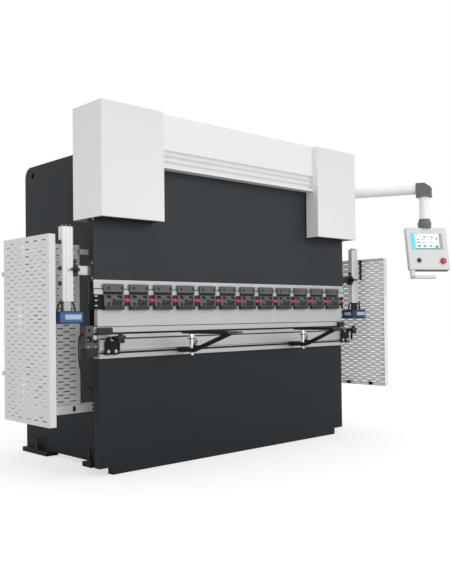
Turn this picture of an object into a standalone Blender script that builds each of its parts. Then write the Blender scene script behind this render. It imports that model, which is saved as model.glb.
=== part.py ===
"""Hydraulic press brake, 2.5 m: frame, ram, tools, guards, support arms, back gauge and pendant.

Metres, +Z up. X runs along the bend and the operator stands at -Y.
The origin is the middle of the table plate's foot on the floor, under the bend line.
"""
import math

import bmesh
import bpy
from mathutils import Matrix, Vector

# Clearances
GAP = 0.0003                # faces that seat on each other
BORE_GAP = 0.0005           # shaft in its bore, on the radius

# Overall sizes
RAM_LENGTH = 2.500
PLATE = 0.056               # thickness of ram plate and table plate
WORKING_HEIGHT = 0.943      # top of the lower die
STROKE = 0.150
SHEET = 0.003               # folded sheet covers and guards

# C-frame side plates
SIDE_INSET = 0.200          # ram end to the side plate's outer face
SIDE_PLATE = 0.050
FRAME_BACK = 1.222
FRAME_FLOOR = 0.030         # underside of the side plates, the thickness of their feet
FRAME_RISE = 0.210          # side plate above the cylinder seat
FRAME_CORNER = 0.080
THROAT_DEPTH = 0.332
THROAT_BELOW = 0.143        # working height to the throat's lower edge
THROAT_ABOVE = 0.457
THROAT_CORNER = 0.050
FOOT_WIDTH = 0.047
REAR_FOOT = (0.844, 1.203)
FRONT_FOOT = (0.256, 0.367)
LEVELLER_RADIUS = 0.010
LEVELLER_HEIGHT = 0.085
EYE_RADIUS = 0.020          # lifting eye at the upper rear corner
EYE_INSETS = (0.116, 0.070)   # from the back edge and from the top edge

# Table
TABLE_INSET = 0.031         # ram end to table end
TABLE_NOTCH_HEIGHT = 0.049
TABLE_NOTCH_WIDTH = 0.102
TOP_RAIL_HEIGHT = 0.126
TOP_RAIL_PROUD = 0.017
SLOT_DROP = 0.082           # rail top to the T-slot's lower lip
SLOT_HEIGHT = 0.008
SLOT_DEPTH = 0.012
HOLDER_HEIGHT = 0.038
HOLDER_WIDTH = 0.060
DIE_HEIGHT = 0.034
DIE_WIDTH = 0.060
DIE_OPENING = 0.016

# Ram
TOOL_HEIGHT = 0.209         # die top to the ram's lower edge, closed
LEDGE_HEIGHT = 0.032
LEDGE_PROUD = 0.006
RAIL_HEIGHT = 0.061
SHOULDER_HEIGHT = 0.475     # painted plate beside the crown
CROWN_HEIGHT = 0.310
CROWN_INSET = 0.026         # inner side of the cylinder cover to the crown's end

# Tools and their clamps
CLAMP_COUNT = 12
CLAMP_ROW_MARGIN = 0.050
CLAMP_WIDTH = 0.139
CLAMP_DEPTH = 0.014
CLAMP_RISE = 0.0355         # clamp's top above the ledge's upper edge
CLAMP_WAIST = (0.0015, 0.0155)      # undercut above the ram's lower edge, from and to
CLAMP_WAIST_DEPTH = 0.008
CLAMP_DROP = 0.100          # ram's lower edge to the clamp's lip
CLAMP_LIP = (0.006, 0.023)  # how far the lip stands proud, and its height
CLAMP_BOLTS = (0.030, 0.022)        # bolts from the clamp's left and right ends
CLAMP_BOLT_RISE = 0.008
CLAMP_BOLT_RADIUS = 0.006
LEVER_RADIUS = 0.0135
LEVER_LENGTH = 0.048
LEVER_BELOW = 0.032
TOOL_INSET = 0.028          # ram end to the tools' ends
PUNCH_TANG = 0.020
PUNCH_NOSE = 0.016          # body proud of the tang, towards the operator
PUNCH_SLOPE = 1.07          # tip's height to its half width
TIP_CLEARANCE = 0.0015
TIP_HALF = 0.0004           # half the flat on the punch's edge

# Cylinders
SEAT_HEIGHT = 0.060
SEAT_REACH = 0.168
SEAT_HALF = 0.115
CYLINDER_RADIUS = 0.085
CYLINDER_HEIGHT = 0.340
ROD_RADIUS = 0.045
ROD_LENGTH = 0.330

# Covers
COVER_WIDTH = 0.489
COVER_PAST_RAM = 0.020
COVER_FRONT = 0.158
COVER_BACK = 0.172
COVER_HEIGHT = 0.728
COVER_LAP = 0.088           # cover's lower edge below the ram's shoulder
COVER_SIDE_STOP = 0.035
CENTRE_FRONT = 0.114
CENTRE_HEIGHT = 0.361

# Rear equipment
TANK_FRONT = 0.300
TANK_BACK = 0.800
TANK_BOTTOM = 1.600
TANK_HEIGHT = 0.350
TANK_WALL = 0.008
NECK_RADIUS = 0.032
NECK_HEIGHT = 0.040
MOTOR_RADIUS = 0.095
MOTOR_LENGTH = 0.320
CABINET = (0.250, 0.650, 0.900)
CABINET_FRONT = 0.480
CABINET_BOTTOM = 0.700
CABINET_LIP = 0.004

# Guards
GUARD_OUT = 0.409           # ram end to the guard's outer face
GUARD_FRONT = 0.193
GUARD_BACK = 0.359
GUARD_BOTTOM = 0.374
GUARD_HEIGHT = 1.120
GUARD_RIM = 0.045
GUARD_DOOR_LENGTH = 0.543
GUARD_PANEL_DEPTH = 0.027
GUARD_PANEL_INSET = 0.078   # rear panel's inner edge to the side plate
HINGE_RADIUS = 0.009
HINGE_PIN = 0.004
HINGE_OFFSET = 0.009
HINGE_HEIGHTS = (0.25, 0.87)
KNUCKLE = 0.040

# Front supports
SUPPORT_X = (-0.590, 0.5375)
CARRIAGE_WIDTH = 0.070      # block on the rail, right of the post's axis
CARRIAGE_DEPTH = 0.065
CARRIAGE_Z = (-0.026, 0.009)        # block's lower and upper face from the slot's lower lip
CARRIAGE_REACH = 0.285
BEAM_HALF = 0.018
BEAM_Z = (-0.020, 0.004)
BAND_RADIUS = 0.021
POST_RADIUS = 0.012
POST_Y = 0.198
POST_BELOW = 0.043          # slot's lower lip to the post's lower end
ARM_BELOW = 0.053           # working height to the support arm's underside
ARM_BAR = (0.040, 0.020)
ARM_START = 0.115
ARM_LENGTHS = (0.555, 0.491)
STRUT_RADIUS = 0.013
SUPPORT_TRAVEL = 0.350
SUPPORT_LIFT = 0.050

# Rail end brackets
BRACKET_INSETS = (0.0845, -0.0165)  # table end to the bracket's middle, left and right
BRACKET_WIDTH = 0.103
BRACKET_THICKNESS = 0.015
BRACKET_Z = (-0.021, 0.097) # plate's lower and upper edge from the slot's lower lip
BRACKET_CORNER = 0.034
BRACKET_BOLT = 0.030        # bolts either side of the middle
BOSS_LENGTH = 0.068
BOSS_RADIUS = 0.012
LATCH = (0.014, 0.014, 0.080)       # bar that hangs from the boss
STAR_OFFSET = 0.006
STAR_RADIUS = 0.031
STAR_LENGTH = 0.030
STEM_RADIUS = 0.006

# Optical columns
COLUMN_OFFSET = 0.140       # ram end to the column's near face
COLUMN_WIDTH = 0.088
COLUMN_DEPTH = 0.045
COLUMN_DROP = 0.047         # ram's lower edge to the column's lower end
COLUMN_HEIGHT = 0.465
SENSOR = (0.178, 0.134, 0.075)
SENSOR_DROP = 0.060
SENSOR_BACK = 0.066
ARM_GIRTH = 0.012
COLUMN_BRACKET_RISE = 0.148

# Back gauge
GAUGE_RAIL_X = 0.700
GAUGE_RAIL = (0.040, 0.030)
GAUGE_RAIL_BELOW = 0.173    # working height to the gauge rail's underside
GAUGE_RAIL_LENGTH = 0.870
GAUGE_Y = 0.430
GAUGE_INSET = 0.050         # side plate to the beam's end
GAUGE_BEAM = (0.080, 0.060)
GAUGE_BEAM_BELOW = 0.083
FINGER_X = 0.450
FINGER_WIDTH = 0.060
FINGER_REACH = 0.330
FINGER_HEIGHT = 0.022
SCREW_RADIUS = 0.0125
SCREW_BELOW = 0.111

# Scale reader at the left end of the table
READER = (0.089, 0.056, 0.116)
READER_BELOW = 0.106        # working height to the reader's underside
TERMINAL_HEIGHT = 0.078
CABLE_RADIUS = 0.005
GLAND_LENGTH = 0.014
CABLE_ROUTE = (             # out from the left ram end, y, below the working height
    (0.0617, 0.004, 0.043), (0.0665, 0.004, 0.043), (0.073, 0.004, 0.043),
    (0.083, 0.004, 0.052), (0.088, 0.004, 0.075), (0.089, 0.006, 0.113),
    (0.088, 0.008, 0.158), (0.084, 0.012, 0.203), (0.068, 0.020, 0.268),
    (0.035, 0.034, 0.338), (-0.018, 0.050, 0.388), (-0.080, 0.064, 0.417),
    (-0.140, 0.072, 0.431), (-0.1854, 0.074, 0.435),
)

# Pendant
PIVOT_OUT = 0.077           # cover side to the arm's pivot
PIVOT_Y = 0.022
PIVOT_RADIUS = 0.012
HUB_RADIUS = 0.045
HUB_HEIGHT = 0.100
ARM_DROP = 0.310            # cover top to the arm's centre line
TUBE_RADIUS = 0.042
TUBE_LENGTH = 0.681
ARM_SWING = 25.6            # degrees out from the front
ELBOW = 0.125
ELBOW_LOW = 0.0115          # elbow's middle below the arm's centre line
DROP_LENGTH = 0.255
COLLAR_RADIUS = 0.057
COLLAR_HEIGHT = 0.078
COLLAR_STUB = 0.015
BOX = (0.358, 0.046, 0.360)
BOX_TURN = -30.0
BOX_TILT = -11.0
STOP_AT = (0.333, -0.800)   # share of the box's width from its middle, of its height from its top
SELECTOR_AT = (-0.255, -0.785)
HANDLE_INSET = 0.012
HANDLE = (0.225, 0.028, 0.072)
HANDLE_LEG = 0.038
STOP_RADIUS = 0.028
STOP_TRAVEL = 0.006
BUTTON_POST = 0.008
SELECTOR_RADIUS = 0.012

# Derived places
HALF_RAM = RAM_LENGTH / 2
FRONT = -PLATE / 2
BACK = PLATE / 2
SIDE_OUT = HALF_RAM - SIDE_INSET
SIDE_IN = SIDE_OUT - SIDE_PLATE
TABLE_HALF = HALF_RAM - TABLE_INSET
PUNCH_HALF = HALF_RAM - TOOL_INSET
THROAT_BOTTOM = WORKING_HEIGHT - THROAT_BELOW
THROAT_TOP = WORKING_HEIGHT + THROAT_ABOVE
DIE_Z = WORKING_HEIGHT - DIE_HEIGHT
HOLDER_Z = DIE_Z - GAP - HOLDER_HEIGHT
TOP_RAIL_Z = HOLDER_Z - GAP - TOP_RAIL_HEIGHT
TOP_RAIL_FRONT = FRONT - TOP_RAIL_PROUD
TABLE_TOP = TOP_RAIL_Z - GAP
LEDGE_Z = WORKING_HEIGHT + TOOL_HEIGHT
RAIL_Z = LEDGE_Z + LEDGE_HEIGHT
RAM_Z = RAIL_Z + RAIL_HEIGHT
SHOULDER_Z = RAM_Z + SHOULDER_HEIGHT
CROWN_Z = SHOULDER_Z + CROWN_HEIGHT
SEAT_Z = SHOULDER_Z + STROKE + 0.010
SEAT_TOP = SEAT_Z + SEAT_HEIGHT
FRAME_TOP = SEAT_TOP + FRAME_RISE
CYLINDER_X = SIDE_OUT - SIDE_PLATE / 2
COVER_OUT = HALF_RAM + COVER_PAST_RAM
COVER_IN = COVER_OUT - COVER_WIDTH
CROWN_HALF = COVER_IN - CROWN_INSET
COVER_Z = SHOULDER_Z - COVER_LAP
COVER_TOP = COVER_Z + COVER_HEIGHT
COLUMN_BOTTOM = LEDGE_Z - COLUMN_DROP
COLUMN_BRACKET_Z = LEDGE_Z + COLUMN_BRACKET_RISE
GUARD_X = HALF_RAM + GUARD_OUT
GUARD_TOP = GUARD_BOTTOM + GUARD_HEIGHT
SLOT_Z = TOP_RAIL_Z + TOP_RAIL_HEIGHT - SLOT_DROP
ARM_HEIGHT = WORKING_HEIGHT - ARM_BELOW
BRACKET_X = (-(TABLE_HALF - BRACKET_INSETS[0]), TABLE_HALF - BRACKET_INSETS[1])
GAUGE_HALF = SIDE_IN - GAUGE_INSET
GAUGE_RAIL_Z = WORKING_HEIGHT - GAUGE_RAIL_BELOW
GAUGE_BEAM_Z = WORKING_HEIGHT - GAUGE_BEAM_BELOW
SCREW_Z = WORKING_HEIGHT - SCREW_BELOW
READER_BOTTOM = WORKING_HEIGHT - READER_BELOW
CABLE_PATH = [(-HALF_RAM - out, y, WORKING_HEIGHT - below) for out, y, below in CABLE_ROUTE]
ARM_Z = COVER_TOP - ARM_DROP
PIVOT = Vector((COVER_OUT + PIVOT_OUT, PIVOT_Y, ARM_Z))
SWING = math.radians(ARM_SWING)
ELBOW_AT = PIVOT + Vector((math.sin(SWING), -math.cos(SWING), 0)) * TUBE_LENGTH
SIDES = (("left", -1), ("right", 1))

PALETTE = {
    "anthracite": ((0.033, 0.040, 0.045), 0.45, 0.0),
    "white": ((0.80, 0.81, 0.81), 0.40, 0.0),
    "guard_grey": ((0.62, 0.63, 0.63), 0.45, 0.0),
    "machined": ((0.62, 0.62, 0.61), 0.30, 0.9),
    "tool_steel": ((0.45, 0.45, 0.45), 0.38, 0.9),
    "clamp_grey": ((0.11, 0.11, 0.11), 0.50, 0.6),
    "black": ((0.015, 0.015, 0.016), 0.45, 0.0),
    "aluminium": ((0.70, 0.71, 0.72), 0.30, 0.9),
    "chrome": ((0.80, 0.80, 0.80), 0.10, 1.0),
    "elbow_grey": ((0.14, 0.14, 0.14), 0.50, 0.0),
    "red": ((0.55, 0.02, 0.03), 0.35, 0.0),
    "cable": ((0.012, 0.012, 0.012), 0.60, 0.0),
}

for leftover in list(bpy.data.objects):
    bpy.data.objects.remove(leftover, do_unlink=True)

parts = bpy.data.collections.new("press_brake")
cutters = bpy.data.collections.new("cutters")
for collection in (parts, cutters):
    bpy.context.scene.collection.children.link(collection)


def finish(colour):
    """The Principled material of one palette entry."""
    if colour not in bpy.data.materials:
        material = bpy.data.materials.new(colour)
        material.use_nodes = True
        shader = material.node_tree.nodes["Principled BSDF"]
        rgb, roughness, metallic = PALETTE[colour]
        shader.inputs["Base Color"].default_value = (*rgb, 1)
        shader.inputs["Roughness"].default_value = roughness
        shader.inputs["Metallic"].default_value = metallic
    return bpy.data.materials[colour]


def place(name, mesh, colour, matrix=Matrix()):
    """A part on its own, or a scratch body for combine() where colour is None."""
    obj = bpy.data.objects.new(name, mesh)
    obj.matrix_world = matrix
    if colour is None:
        cutters.objects.link(obj)
        obj.hide_render = True
        obj.display_type = "WIRE"
    else:
        parts.objects.link(obj)
        mesh.materials.append(finish(colour))
    return obj


def box(name, low, high, colour=None, matrix=Matrix()):
    """A block between two corners."""
    mesh = bpy.data.meshes.new(name)
    bm = bmesh.new()
    size = Vector(high) - Vector(low)
    middle = (Vector(high) + Vector(low)) / 2
    bmesh.ops.create_cube(bm, size=1, matrix=Matrix.Translation(middle) @ Matrix.Diagonal((*size, 1)))
    bm.to_mesh(mesh)
    bm.free()
    return place(name, mesh, colour, matrix)


def mirror_box(name, side, near, far, colour=None):
    """A block given with x away from the middle, placed on the side -1 or +1."""
    x = sorted((side * near[0], side * far[0]))
    return box(name, (x[0], near[1], near[2]), (x[1], far[1], far[2]), colour)


def rod(name, start, end, radius, colour=None, segments=32, end_radius=None):
    """A round bar or cone between two points."""
    mesh = bpy.data.meshes.new(name)
    bm = bmesh.new()
    run = Vector(end) - Vector(start)
    bmesh.ops.create_cone(bm, cap_ends=True, segments=segments, radius1=radius,
                          radius2=radius if end_radius is None else end_radius, depth=run.length)
    turn = Vector((0, 0, 1)).rotation_difference(run).to_matrix().to_4x4()
    middle = (Vector(end) + Vector(start)) / 2
    bmesh.ops.transform(bm, matrix=Matrix.Translation(middle) @ turn, verts=bm.verts)
    bm.to_mesh(mesh)
    bm.free()
    mesh.shade_smooth()
    mesh.set_sharp_from_angle(angle=math.radians(30))
    return place(name, mesh, colour)


def solid_from_curve(obj, name, colour, matrix):
    """Turns a filled or bevelled curve into a welded mesh part."""
    cutters.objects.link(obj)
    bpy.context.view_layer.update()
    evaluated = obj.evaluated_get(bpy.context.evaluated_depsgraph_get())
    mesh = bpy.data.meshes.new_from_object(evaluated)
    bpy.data.objects.remove(obj, do_unlink=True)
    bm = bmesh.new()
    bm.from_mesh(mesh)
    bmesh.ops.remove_doubles(bm, verts=bm.verts, dist=0.00001)
    bmesh.ops.recalc_face_normals(bm, faces=bm.faces)
    bm.to_mesh(mesh)
    bm.free()
    mesh.materials.clear()
    return place(name, mesh, colour, matrix)


def outline(name, points, along, low, high, colour=None):
    """A flat outline, (y, z) along X or (x, z) along Y, extruded from low to high."""
    curve = bpy.data.curves.new(name, "CURVE")
    curve.dimensions = "2D"
    curve.fill_mode = "BOTH"
    curve.extrude = (high - low) / 2
    spline = curve.splines.new("POLY")
    spline.points.add(len(points) - 1)
    for point, (u, v) in zip(spline.points, points):
        point.co = (u, v, 0, 1)
    spline.use_cyclic_u = True
    middle = (low + high) / 2
    if along == "X":
        matrix = Matrix(((0, 0, 1, middle), (1, 0, 0, 0), (0, 1, 0, 0), (0, 0, 0, 1)))
    else:
        matrix = Matrix(((1, 0, 0, 0), (0, 0, -1, middle), (0, 1, 0, 0), (0, 0, 0, 1)))
    return solid_from_curve(bpy.data.objects.new(name, curve), name, colour, matrix)


def arc(centre, radius, start, end, steps=6):
    """Points on a circle between two angles in degrees."""
    turn = [math.radians(start + (end - start) * i / steps) for i in range(steps + 1)]
    return [(centre[0] + radius * math.cos(t), centre[1] + radius * math.sin(t)) for t in turn]


def combine(target, tools, operation):
    """Adds one exact Boolean for each tool."""
    for tool in tools:
        modifier = target.modifiers.new(operation.lower(), "BOOLEAN")
        modifier.operation = operation
        modifier.object = tool
    return target


def cut(target, *tools):
    return combine(target, tools, "DIFFERENCE")


def add(target, *tools):
    return combine(target, tools, "UNION")


def hang_on(name, at, children, parent=None, turn=Matrix()):
    """An empty on a joint's axis that carries the pieces that move with it."""
    empty = bpy.data.objects.new(name, None)
    parts.objects.link(empty)
    frame = Matrix.Translation(Vector(at)) @ turn
    if parent is not None:
        empty.parent = parent
        empty.matrix_parent_inverse = WORLD[parent.name].inverted()
    empty.matrix_world = frame
    WORLD[name] = frame
    for child in children:
        child.parent = empty
        child.matrix_parent_inverse = frame.inverted()
    return empty


WORLD = {}


def side_plate(side_name, side):
    """C-shaped plate with its two feet, a lifting eye and levelling screws."""
    run_back = BACK + 0.004
    rod_back = ROD_RADIUS + 0.010
    seat_back = SEAT_REACH + GAP
    above_seat = CYLINDER_RADIUS + 0.010
    profile = [(BACK + GAP, FRAME_FLOOR), (FRAME_BACK, FRAME_FLOOR)]
    profile += arc((FRAME_BACK - FRAME_CORNER, FRAME_TOP - FRAME_CORNER), FRAME_CORNER, 0, 90)
    profile += [(above_seat, FRAME_TOP), (above_seat, SEAT_TOP + GAP), (seat_back, SEAT_TOP + GAP)]
    profile += [(seat_back, SEAT_Z - GAP), (rod_back, SEAT_Z - GAP), (rod_back, SHOULDER_Z),
                (run_back, SHOULDER_Z), (run_back, THROAT_TOP)]
    profile += arc((THROAT_DEPTH - THROAT_CORNER, THROAT_TOP - THROAT_CORNER), THROAT_CORNER, 90, 0)
    profile += arc((THROAT_DEPTH - THROAT_CORNER, THROAT_BOTTOM + THROAT_CORNER), THROAT_CORNER, 0, -90)
    profile += [(BACK + GAP, THROAT_BOTTOM)]
    low, high = sorted((side * SIDE_IN, side * SIDE_OUT))
    name = side_name + "_side_plate"
    plate = outline(name, profile, "X", low, high, "anthracite")
    for foot_name, (front, back) in (("rear", REAR_FOOT), ("front", FRONT_FOOT)):
        foot = mirror_box(name + foot_name, side, (SIDE_IN, front, 0),
                          (SIDE_OUT + FOOT_WIDTH, back, FRAME_FLOOR + 0.002))
        middle = (front + back) / 2
        x = side * (SIDE_OUT + FOOT_WIDTH / 2)
        screw = rod(name + foot_name + "_screw", (x, middle, FRAME_FLOOR / 2),
                    (x, middle, FRAME_FLOOR + LEVELLER_HEIGHT), LEVELLER_RADIUS, segments=16)
        head = rod(name + foot_name + "_head", (x, middle, FRAME_FLOOR + LEVELLER_HEIGHT * 0.25),
                   (x, middle, FRAME_FLOOR + LEVELLER_HEIGHT * 0.4), LEVELLER_RADIUS * 1.6, segments=6)
        add(plate, foot, screw, head)
    eye_at = (FRAME_BACK - EYE_INSETS[0], FRAME_TOP - EYE_INSETS[1])
    cut(plate, rod(name + "_eye", (side * (SIDE_IN - 0.01), *eye_at), (side * (SIDE_OUT + 0.01), *eye_at),
                   EYE_RADIUS, segments=24))
    return plate


def table():
    """Table plate, machined top rail with its T-slot, die holder and lower die."""
    foot = TABLE_HALF - TABLE_NOTCH_WIDTH
    profile = [(-foot, 0), (foot, 0), (foot, TABLE_NOTCH_HEIGHT), (TABLE_HALF, TABLE_NOTCH_HEIGHT),
               (TABLE_HALF, TABLE_TOP), (-TABLE_HALF, TABLE_TOP), (-TABLE_HALF, TABLE_NOTCH_HEIGHT),
               (-foot, TABLE_NOTCH_HEIGHT)]
    outline("table_plate", profile, "Y", FRONT, BACK, "anthracite")
    deep = TOP_RAIL_FRONT + SLOT_DEPTH
    top = TOP_RAIL_Z + TOP_RAIL_HEIGHT
    undercut = SLOT_HEIGHT / 2
    profile = [(TOP_RAIL_FRONT, TOP_RAIL_Z), (BACK, TOP_RAIL_Z), (BACK, top), (TOP_RAIL_FRONT, top),
               (TOP_RAIL_FRONT, SLOT_Z + SLOT_HEIGHT), (deep - undercut, SLOT_Z + SLOT_HEIGHT),
               (deep - undercut, SLOT_Z + SLOT_HEIGHT + undercut), (deep, SLOT_Z + SLOT_HEIGHT + undercut),
               (deep, SLOT_Z - undercut), (deep - undercut, SLOT_Z - undercut),
               (deep - undercut, SLOT_Z), (TOP_RAIL_FRONT, SLOT_Z)]
    outline("table_top_rail", profile, "X", -TABLE_HALF, TABLE_HALF, "machined")
    half = HOLDER_WIDTH / 2
    groove = HOLDER_Z + HOLDER_HEIGHT * 0.6
    profile = [(-half, HOLDER_Z), (half, HOLDER_Z), (half, HOLDER_Z + HOLDER_HEIGHT),
               (-half + 0.004, HOLDER_Z + HOLDER_HEIGHT), (-half + 0.004, groove), (-half, groove)]
    outline("die_holder", profile, "X", -TABLE_HALF, TABLE_HALF, "machined")
    half = DIE_WIDTH / 2
    mouth = DIE_OPENING / 2
    profile = [(-half, DIE_Z), (half, DIE_Z), (half, WORKING_HEIGHT), (mouth, WORKING_HEIGHT),
               (0, WORKING_HEIGHT - mouth), (-mouth, WORKING_HEIGHT), (-half, WORKING_HEIGHT)]
    outline("lower_die", profile, "X", -PUNCH_HALF, PUNCH_HALF, "tool_steel")


def ram():
    """Ram plate with its crown, machined rail, punch, rods and clamps; all ride the ram slide."""
    profile = [(-HALF_RAM, RAM_Z + GAP), (HALF_RAM, RAM_Z + GAP), (HALF_RAM, SHOULDER_Z),
               (CROWN_HALF, SHOULDER_Z), (CROWN_HALF, CROWN_Z), (-CROWN_HALF, CROWN_Z),
               (-CROWN_HALF, SHOULDER_Z), (-HALF_RAM, SHOULDER_Z)]
    pieces = [outline("ram_plate", profile, "Y", FRONT, BACK, "anthracite")]
    ledge_front = FRONT - LEDGE_PROUD
    tang_back = PUNCH_TANG / 2 + GAP
    tang_top = RAIL_Z - 0.002
    profile = [(ledge_front, LEDGE_Z), (-tang_back, LEDGE_Z), (-tang_back, tang_top), (tang_back, tang_top),
               (tang_back, LEDGE_Z - 0.060), (BACK, LEDGE_Z - 0.060), (BACK, RAM_Z), (FRONT, RAM_Z),
               (FRONT, RAIL_Z), (ledge_front, RAIL_Z)]
    pieces.append(outline("ram_rail", profile, "X", -HALF_RAM, HALF_RAM, "machined"))
    pieces.append(punch(tang_top - GAP))
    pitch = (RAM_LENGTH - 2 * CLAMP_ROW_MARGIN) / CLAMP_COUNT
    for i in range(CLAMP_COUNT):
        centre = (i - (CLAMP_COUNT - 1) / 2) * pitch
        pieces.append(clamp("clamp_%02d" % (i + 1), centre, ledge_front - GAP))
    for side_name, side in SIDES:
        x = side * CYLINDER_X
        pieces.append(rod(side_name + "_piston_rod", (x, 0, SHOULDER_Z + GAP),
                          (x, 0, SHOULDER_Z + ROD_LENGTH), ROD_RADIUS, "chrome", 40))
        pieces.append(column_bracket(side_name, side))
    return pieces


def punch(top):
    """Straight upper tool with its tang between the clamps and the rail."""
    half = PUNCH_TANG / 2
    face = half + PUNCH_NOSE
    tip = WORKING_HEIGHT - DIE_OPENING / 2 + TIP_CLEARANCE
    shoulder = LEDGE_Z - GAP
    profile = [(TIP_HALF, tip), (half, tip + half * PUNCH_SLOPE), (half, top), (-half, top),
               (-half, shoulder), (-face, shoulder), (-face, tip + face * PUNCH_SLOPE), (-TIP_HALF, tip)]
    return outline("punch", profile, "X", -PUNCH_HALF, PUNCH_HALF, "tool_steel")


def clamp(name, centre, back):
    """Quick clamp: bolted block, undercut, jaw and lip, with its release lever at the right."""
    front = back - CLAMP_DEPTH
    jaw_back = -PUNCH_TANG / 2 - PUNCH_NOSE - GAP
    lip = LEDGE_Z - CLAMP_DROP
    lip_front = front - CLAMP_LIP[0]
    lip_top = lip + CLAMP_LIP[1]
    top = RAIL_Z + CLAMP_RISE
    waist = front + CLAMP_WAIST_DEPTH
    waist_low, waist_high = LEDGE_Z + CLAMP_WAIST[0], LEDGE_Z + CLAMP_WAIST[1]
    profile = [(lip_front, lip), (jaw_back, lip), (jaw_back, LEDGE_Z - GAP), (back, LEDGE_Z - GAP),
               (back, top), (front, top), (front, waist_high), (waist, waist_high), (waist, waist_low),
               (front, waist_low), (front, lip_top + CLAMP_LIP[0] / 3), (lip_front, lip_top)]
    low, high = centre - CLAMP_WIDTH / 2, centre + CLAMP_WIDTH / 2
    body = outline(name, profile, "X", low, high, "clamp_grey")
    lever_y = jaw_back - LEVER_RADIUS
    lever_z = LEDGE_Z - LEVER_BELOW
    shank = rod(name + "_shank", (high - 0.010, lever_y, lever_z), (high + 0.012, lever_y, lever_z), 0.005,
                segments=16)
    grip = rod(name + "_grip", (high + 0.001, lever_y, lever_z), (high + LEVER_LENGTH, lever_y, lever_z),
               LEVER_RADIUS, segments=16)
    bolt_z = RAIL_Z + CLAMP_BOLT_RISE
    bolts = [rod(name + "_bolt%d" % i, (x, front - 0.002, bolt_z), (x, front + 0.006, bolt_z),
                 CLAMP_BOLT_RADIUS,
                 segments=12) for i, x in enumerate((low + CLAMP_BOLTS[0], high - CLAMP_BOLTS[1]))]
    return add(body, shank, grip, *bolts)


def column_bracket(side_name, side):
    """Plate on the ram's end with an arm that grips the optical column."""
    name = side_name + "_column_bracket"
    near = HALF_RAM + GAP
    plate = mirror_box(name, side, (near, FRONT + 0.005, COLUMN_BRACKET_Z - 0.065),
                       (near + 0.012, BACK - 0.004, COLUMN_BRACKET_Z + 0.070), "machined")
    arm = mirror_box(name + "_arm", side, (near + 0.010, FRONT + 0.012, COLUMN_BRACKET_Z - 0.028),
                     (HALF_RAM + COLUMN_OFFSET - GAP, BACK - 0.012, COLUMN_BRACKET_Z + 0.028))
    knob_x = side * (HALF_RAM + COLUMN_OFFSET - 0.022)
    knob = rod(name + "_knob", (knob_x, FRONT - 0.030, COLUMN_BRACKET_Z),
               (knob_x, FRONT + 0.014, COLUMN_BRACKET_Z),
               0.014, segments=16)
    return add(plate, arm, knob)


def column(side_name, side):
    """Aluminium column with the sensor head that it carries on four arms."""
    name = side_name + "_sensor_column"
    near = HALF_RAM + COLUMN_OFFSET
    far = near + COLUMN_WIDTH
    top = COLUMN_BOTTOM + COLUMN_HEIGHT
    post = mirror_box(name, side, (near, FRONT, COLUMN_BOTTOM), (far, FRONT + COLUMN_DEPTH, top), "aluminium")
    head_x = (near + far) / 2
    sensor_top = COLUMN_BOTTOM - SENSOR_DROP
    head = mirror_box(name + "_head", side, (head_x - SENSOR[0] / 2, SENSOR_BACK - SENSOR[1],
                                             sensor_top - SENSOR[2]),
                      (head_x + SENSOR[0] / 2, SENSOR_BACK, sensor_top))
    arms = []
    for i, x in enumerate((near + 0.012, far - 0.012)):
        for j, y in enumerate((FRONT + 0.008, FRONT + COLUMN_DEPTH - 0.008)):
            half = ARM_GIRTH / 2
            arms.append(mirror_box(name + "_arm%d%d" % (i, j), side, (x - half, y - half, sensor_top - 0.004),
                                   (x + half, y + half, COLUMN_BOTTOM + 0.004)))
    return add(post, *arms, head)


def cylinder(side_name, side):
    """Hydraulic cylinder on its seat, bored for the piston rod."""
    x = side * CYLINDER_X
    name = side_name + "_cylinder"
    body = rod(name, (x, 0, SEAT_TOP - 0.002), (x, 0, SEAT_TOP + CYLINDER_HEIGHT), CYLINDER_RADIUS,
               "anthracite", 40)
    seat = mirror_box(name + "_seat", side, (CYLINDER_X - SEAT_HALF, -0.110, SEAT_Z),
                      (CYLINDER_X + SEAT_HALF, SEAT_REACH, SEAT_TOP))
    add(body, seat)
    bore = rod(name + "_bore", (x, 0, SEAT_Z - 0.01), (x, 0, SEAT_TOP + CYLINDER_HEIGHT - 0.040),
               ROD_RADIUS + BORE_GAP, segments=40)
    return cut(body, bore)


def cylinder_cover(side_name, side):
    """Folded sheet over one cylinder, open below, with a slot for the side plate behind."""
    name = side_name + "_cylinder_cover"
    cover = mirror_box(name, side, (COVER_IN, -COVER_FRONT, COVER_Z), (COVER_OUT, COVER_BACK, COVER_TOP),
                       "white")
    hollow = mirror_box(name + "_hollow", side, (COVER_IN + SHEET, -COVER_FRONT + SHEET, COVER_Z - 0.01),
                        (COVER_OUT - SHEET, COVER_BACK - SHEET, COVER_TOP - SHEET))
    passage = mirror_box(name + "_passage", side, (COVER_IN - 0.01, -COVER_SIDE_STOP, COVER_Z - 0.01),
                         (COVER_IN + SHEET + 0.01, COVER_BACK - SHEET, COVER_TOP - SHEET))
    slot = mirror_box(name + "_slot", side, (SIDE_IN - GAP, COVER_BACK - 0.02, COVER_Z - 0.02),
                      (SIDE_OUT + GAP, COVER_BACK + 0.01, FRAME_TOP + GAP))
    return cut(cover, hollow, passage, slot)


def centre_cover():
    """Recessed sheet beam between the cylinder covers, open behind and below."""
    half = COVER_IN - GAP
    bottom = COVER_TOP - CENTRE_HEIGHT
    cover = box("centre_cover", (-half, -CENTRE_FRONT, bottom), (half, COVER_BACK, COVER_TOP), "white")
    hollow = box("centre_hollow", (-half - 0.01, -CENTRE_FRONT + SHEET, bottom - 0.01),
                 (half + 0.01, COVER_BACK + 0.01, COVER_TOP - SHEET))
    lip = box("centre_lip", (-half, -CENTRE_FRONT, bottom), (half, -COVER_SIDE_STOP - 0.005, bottom + SHEET))
    return add(cut(cover, hollow), lip)


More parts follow.
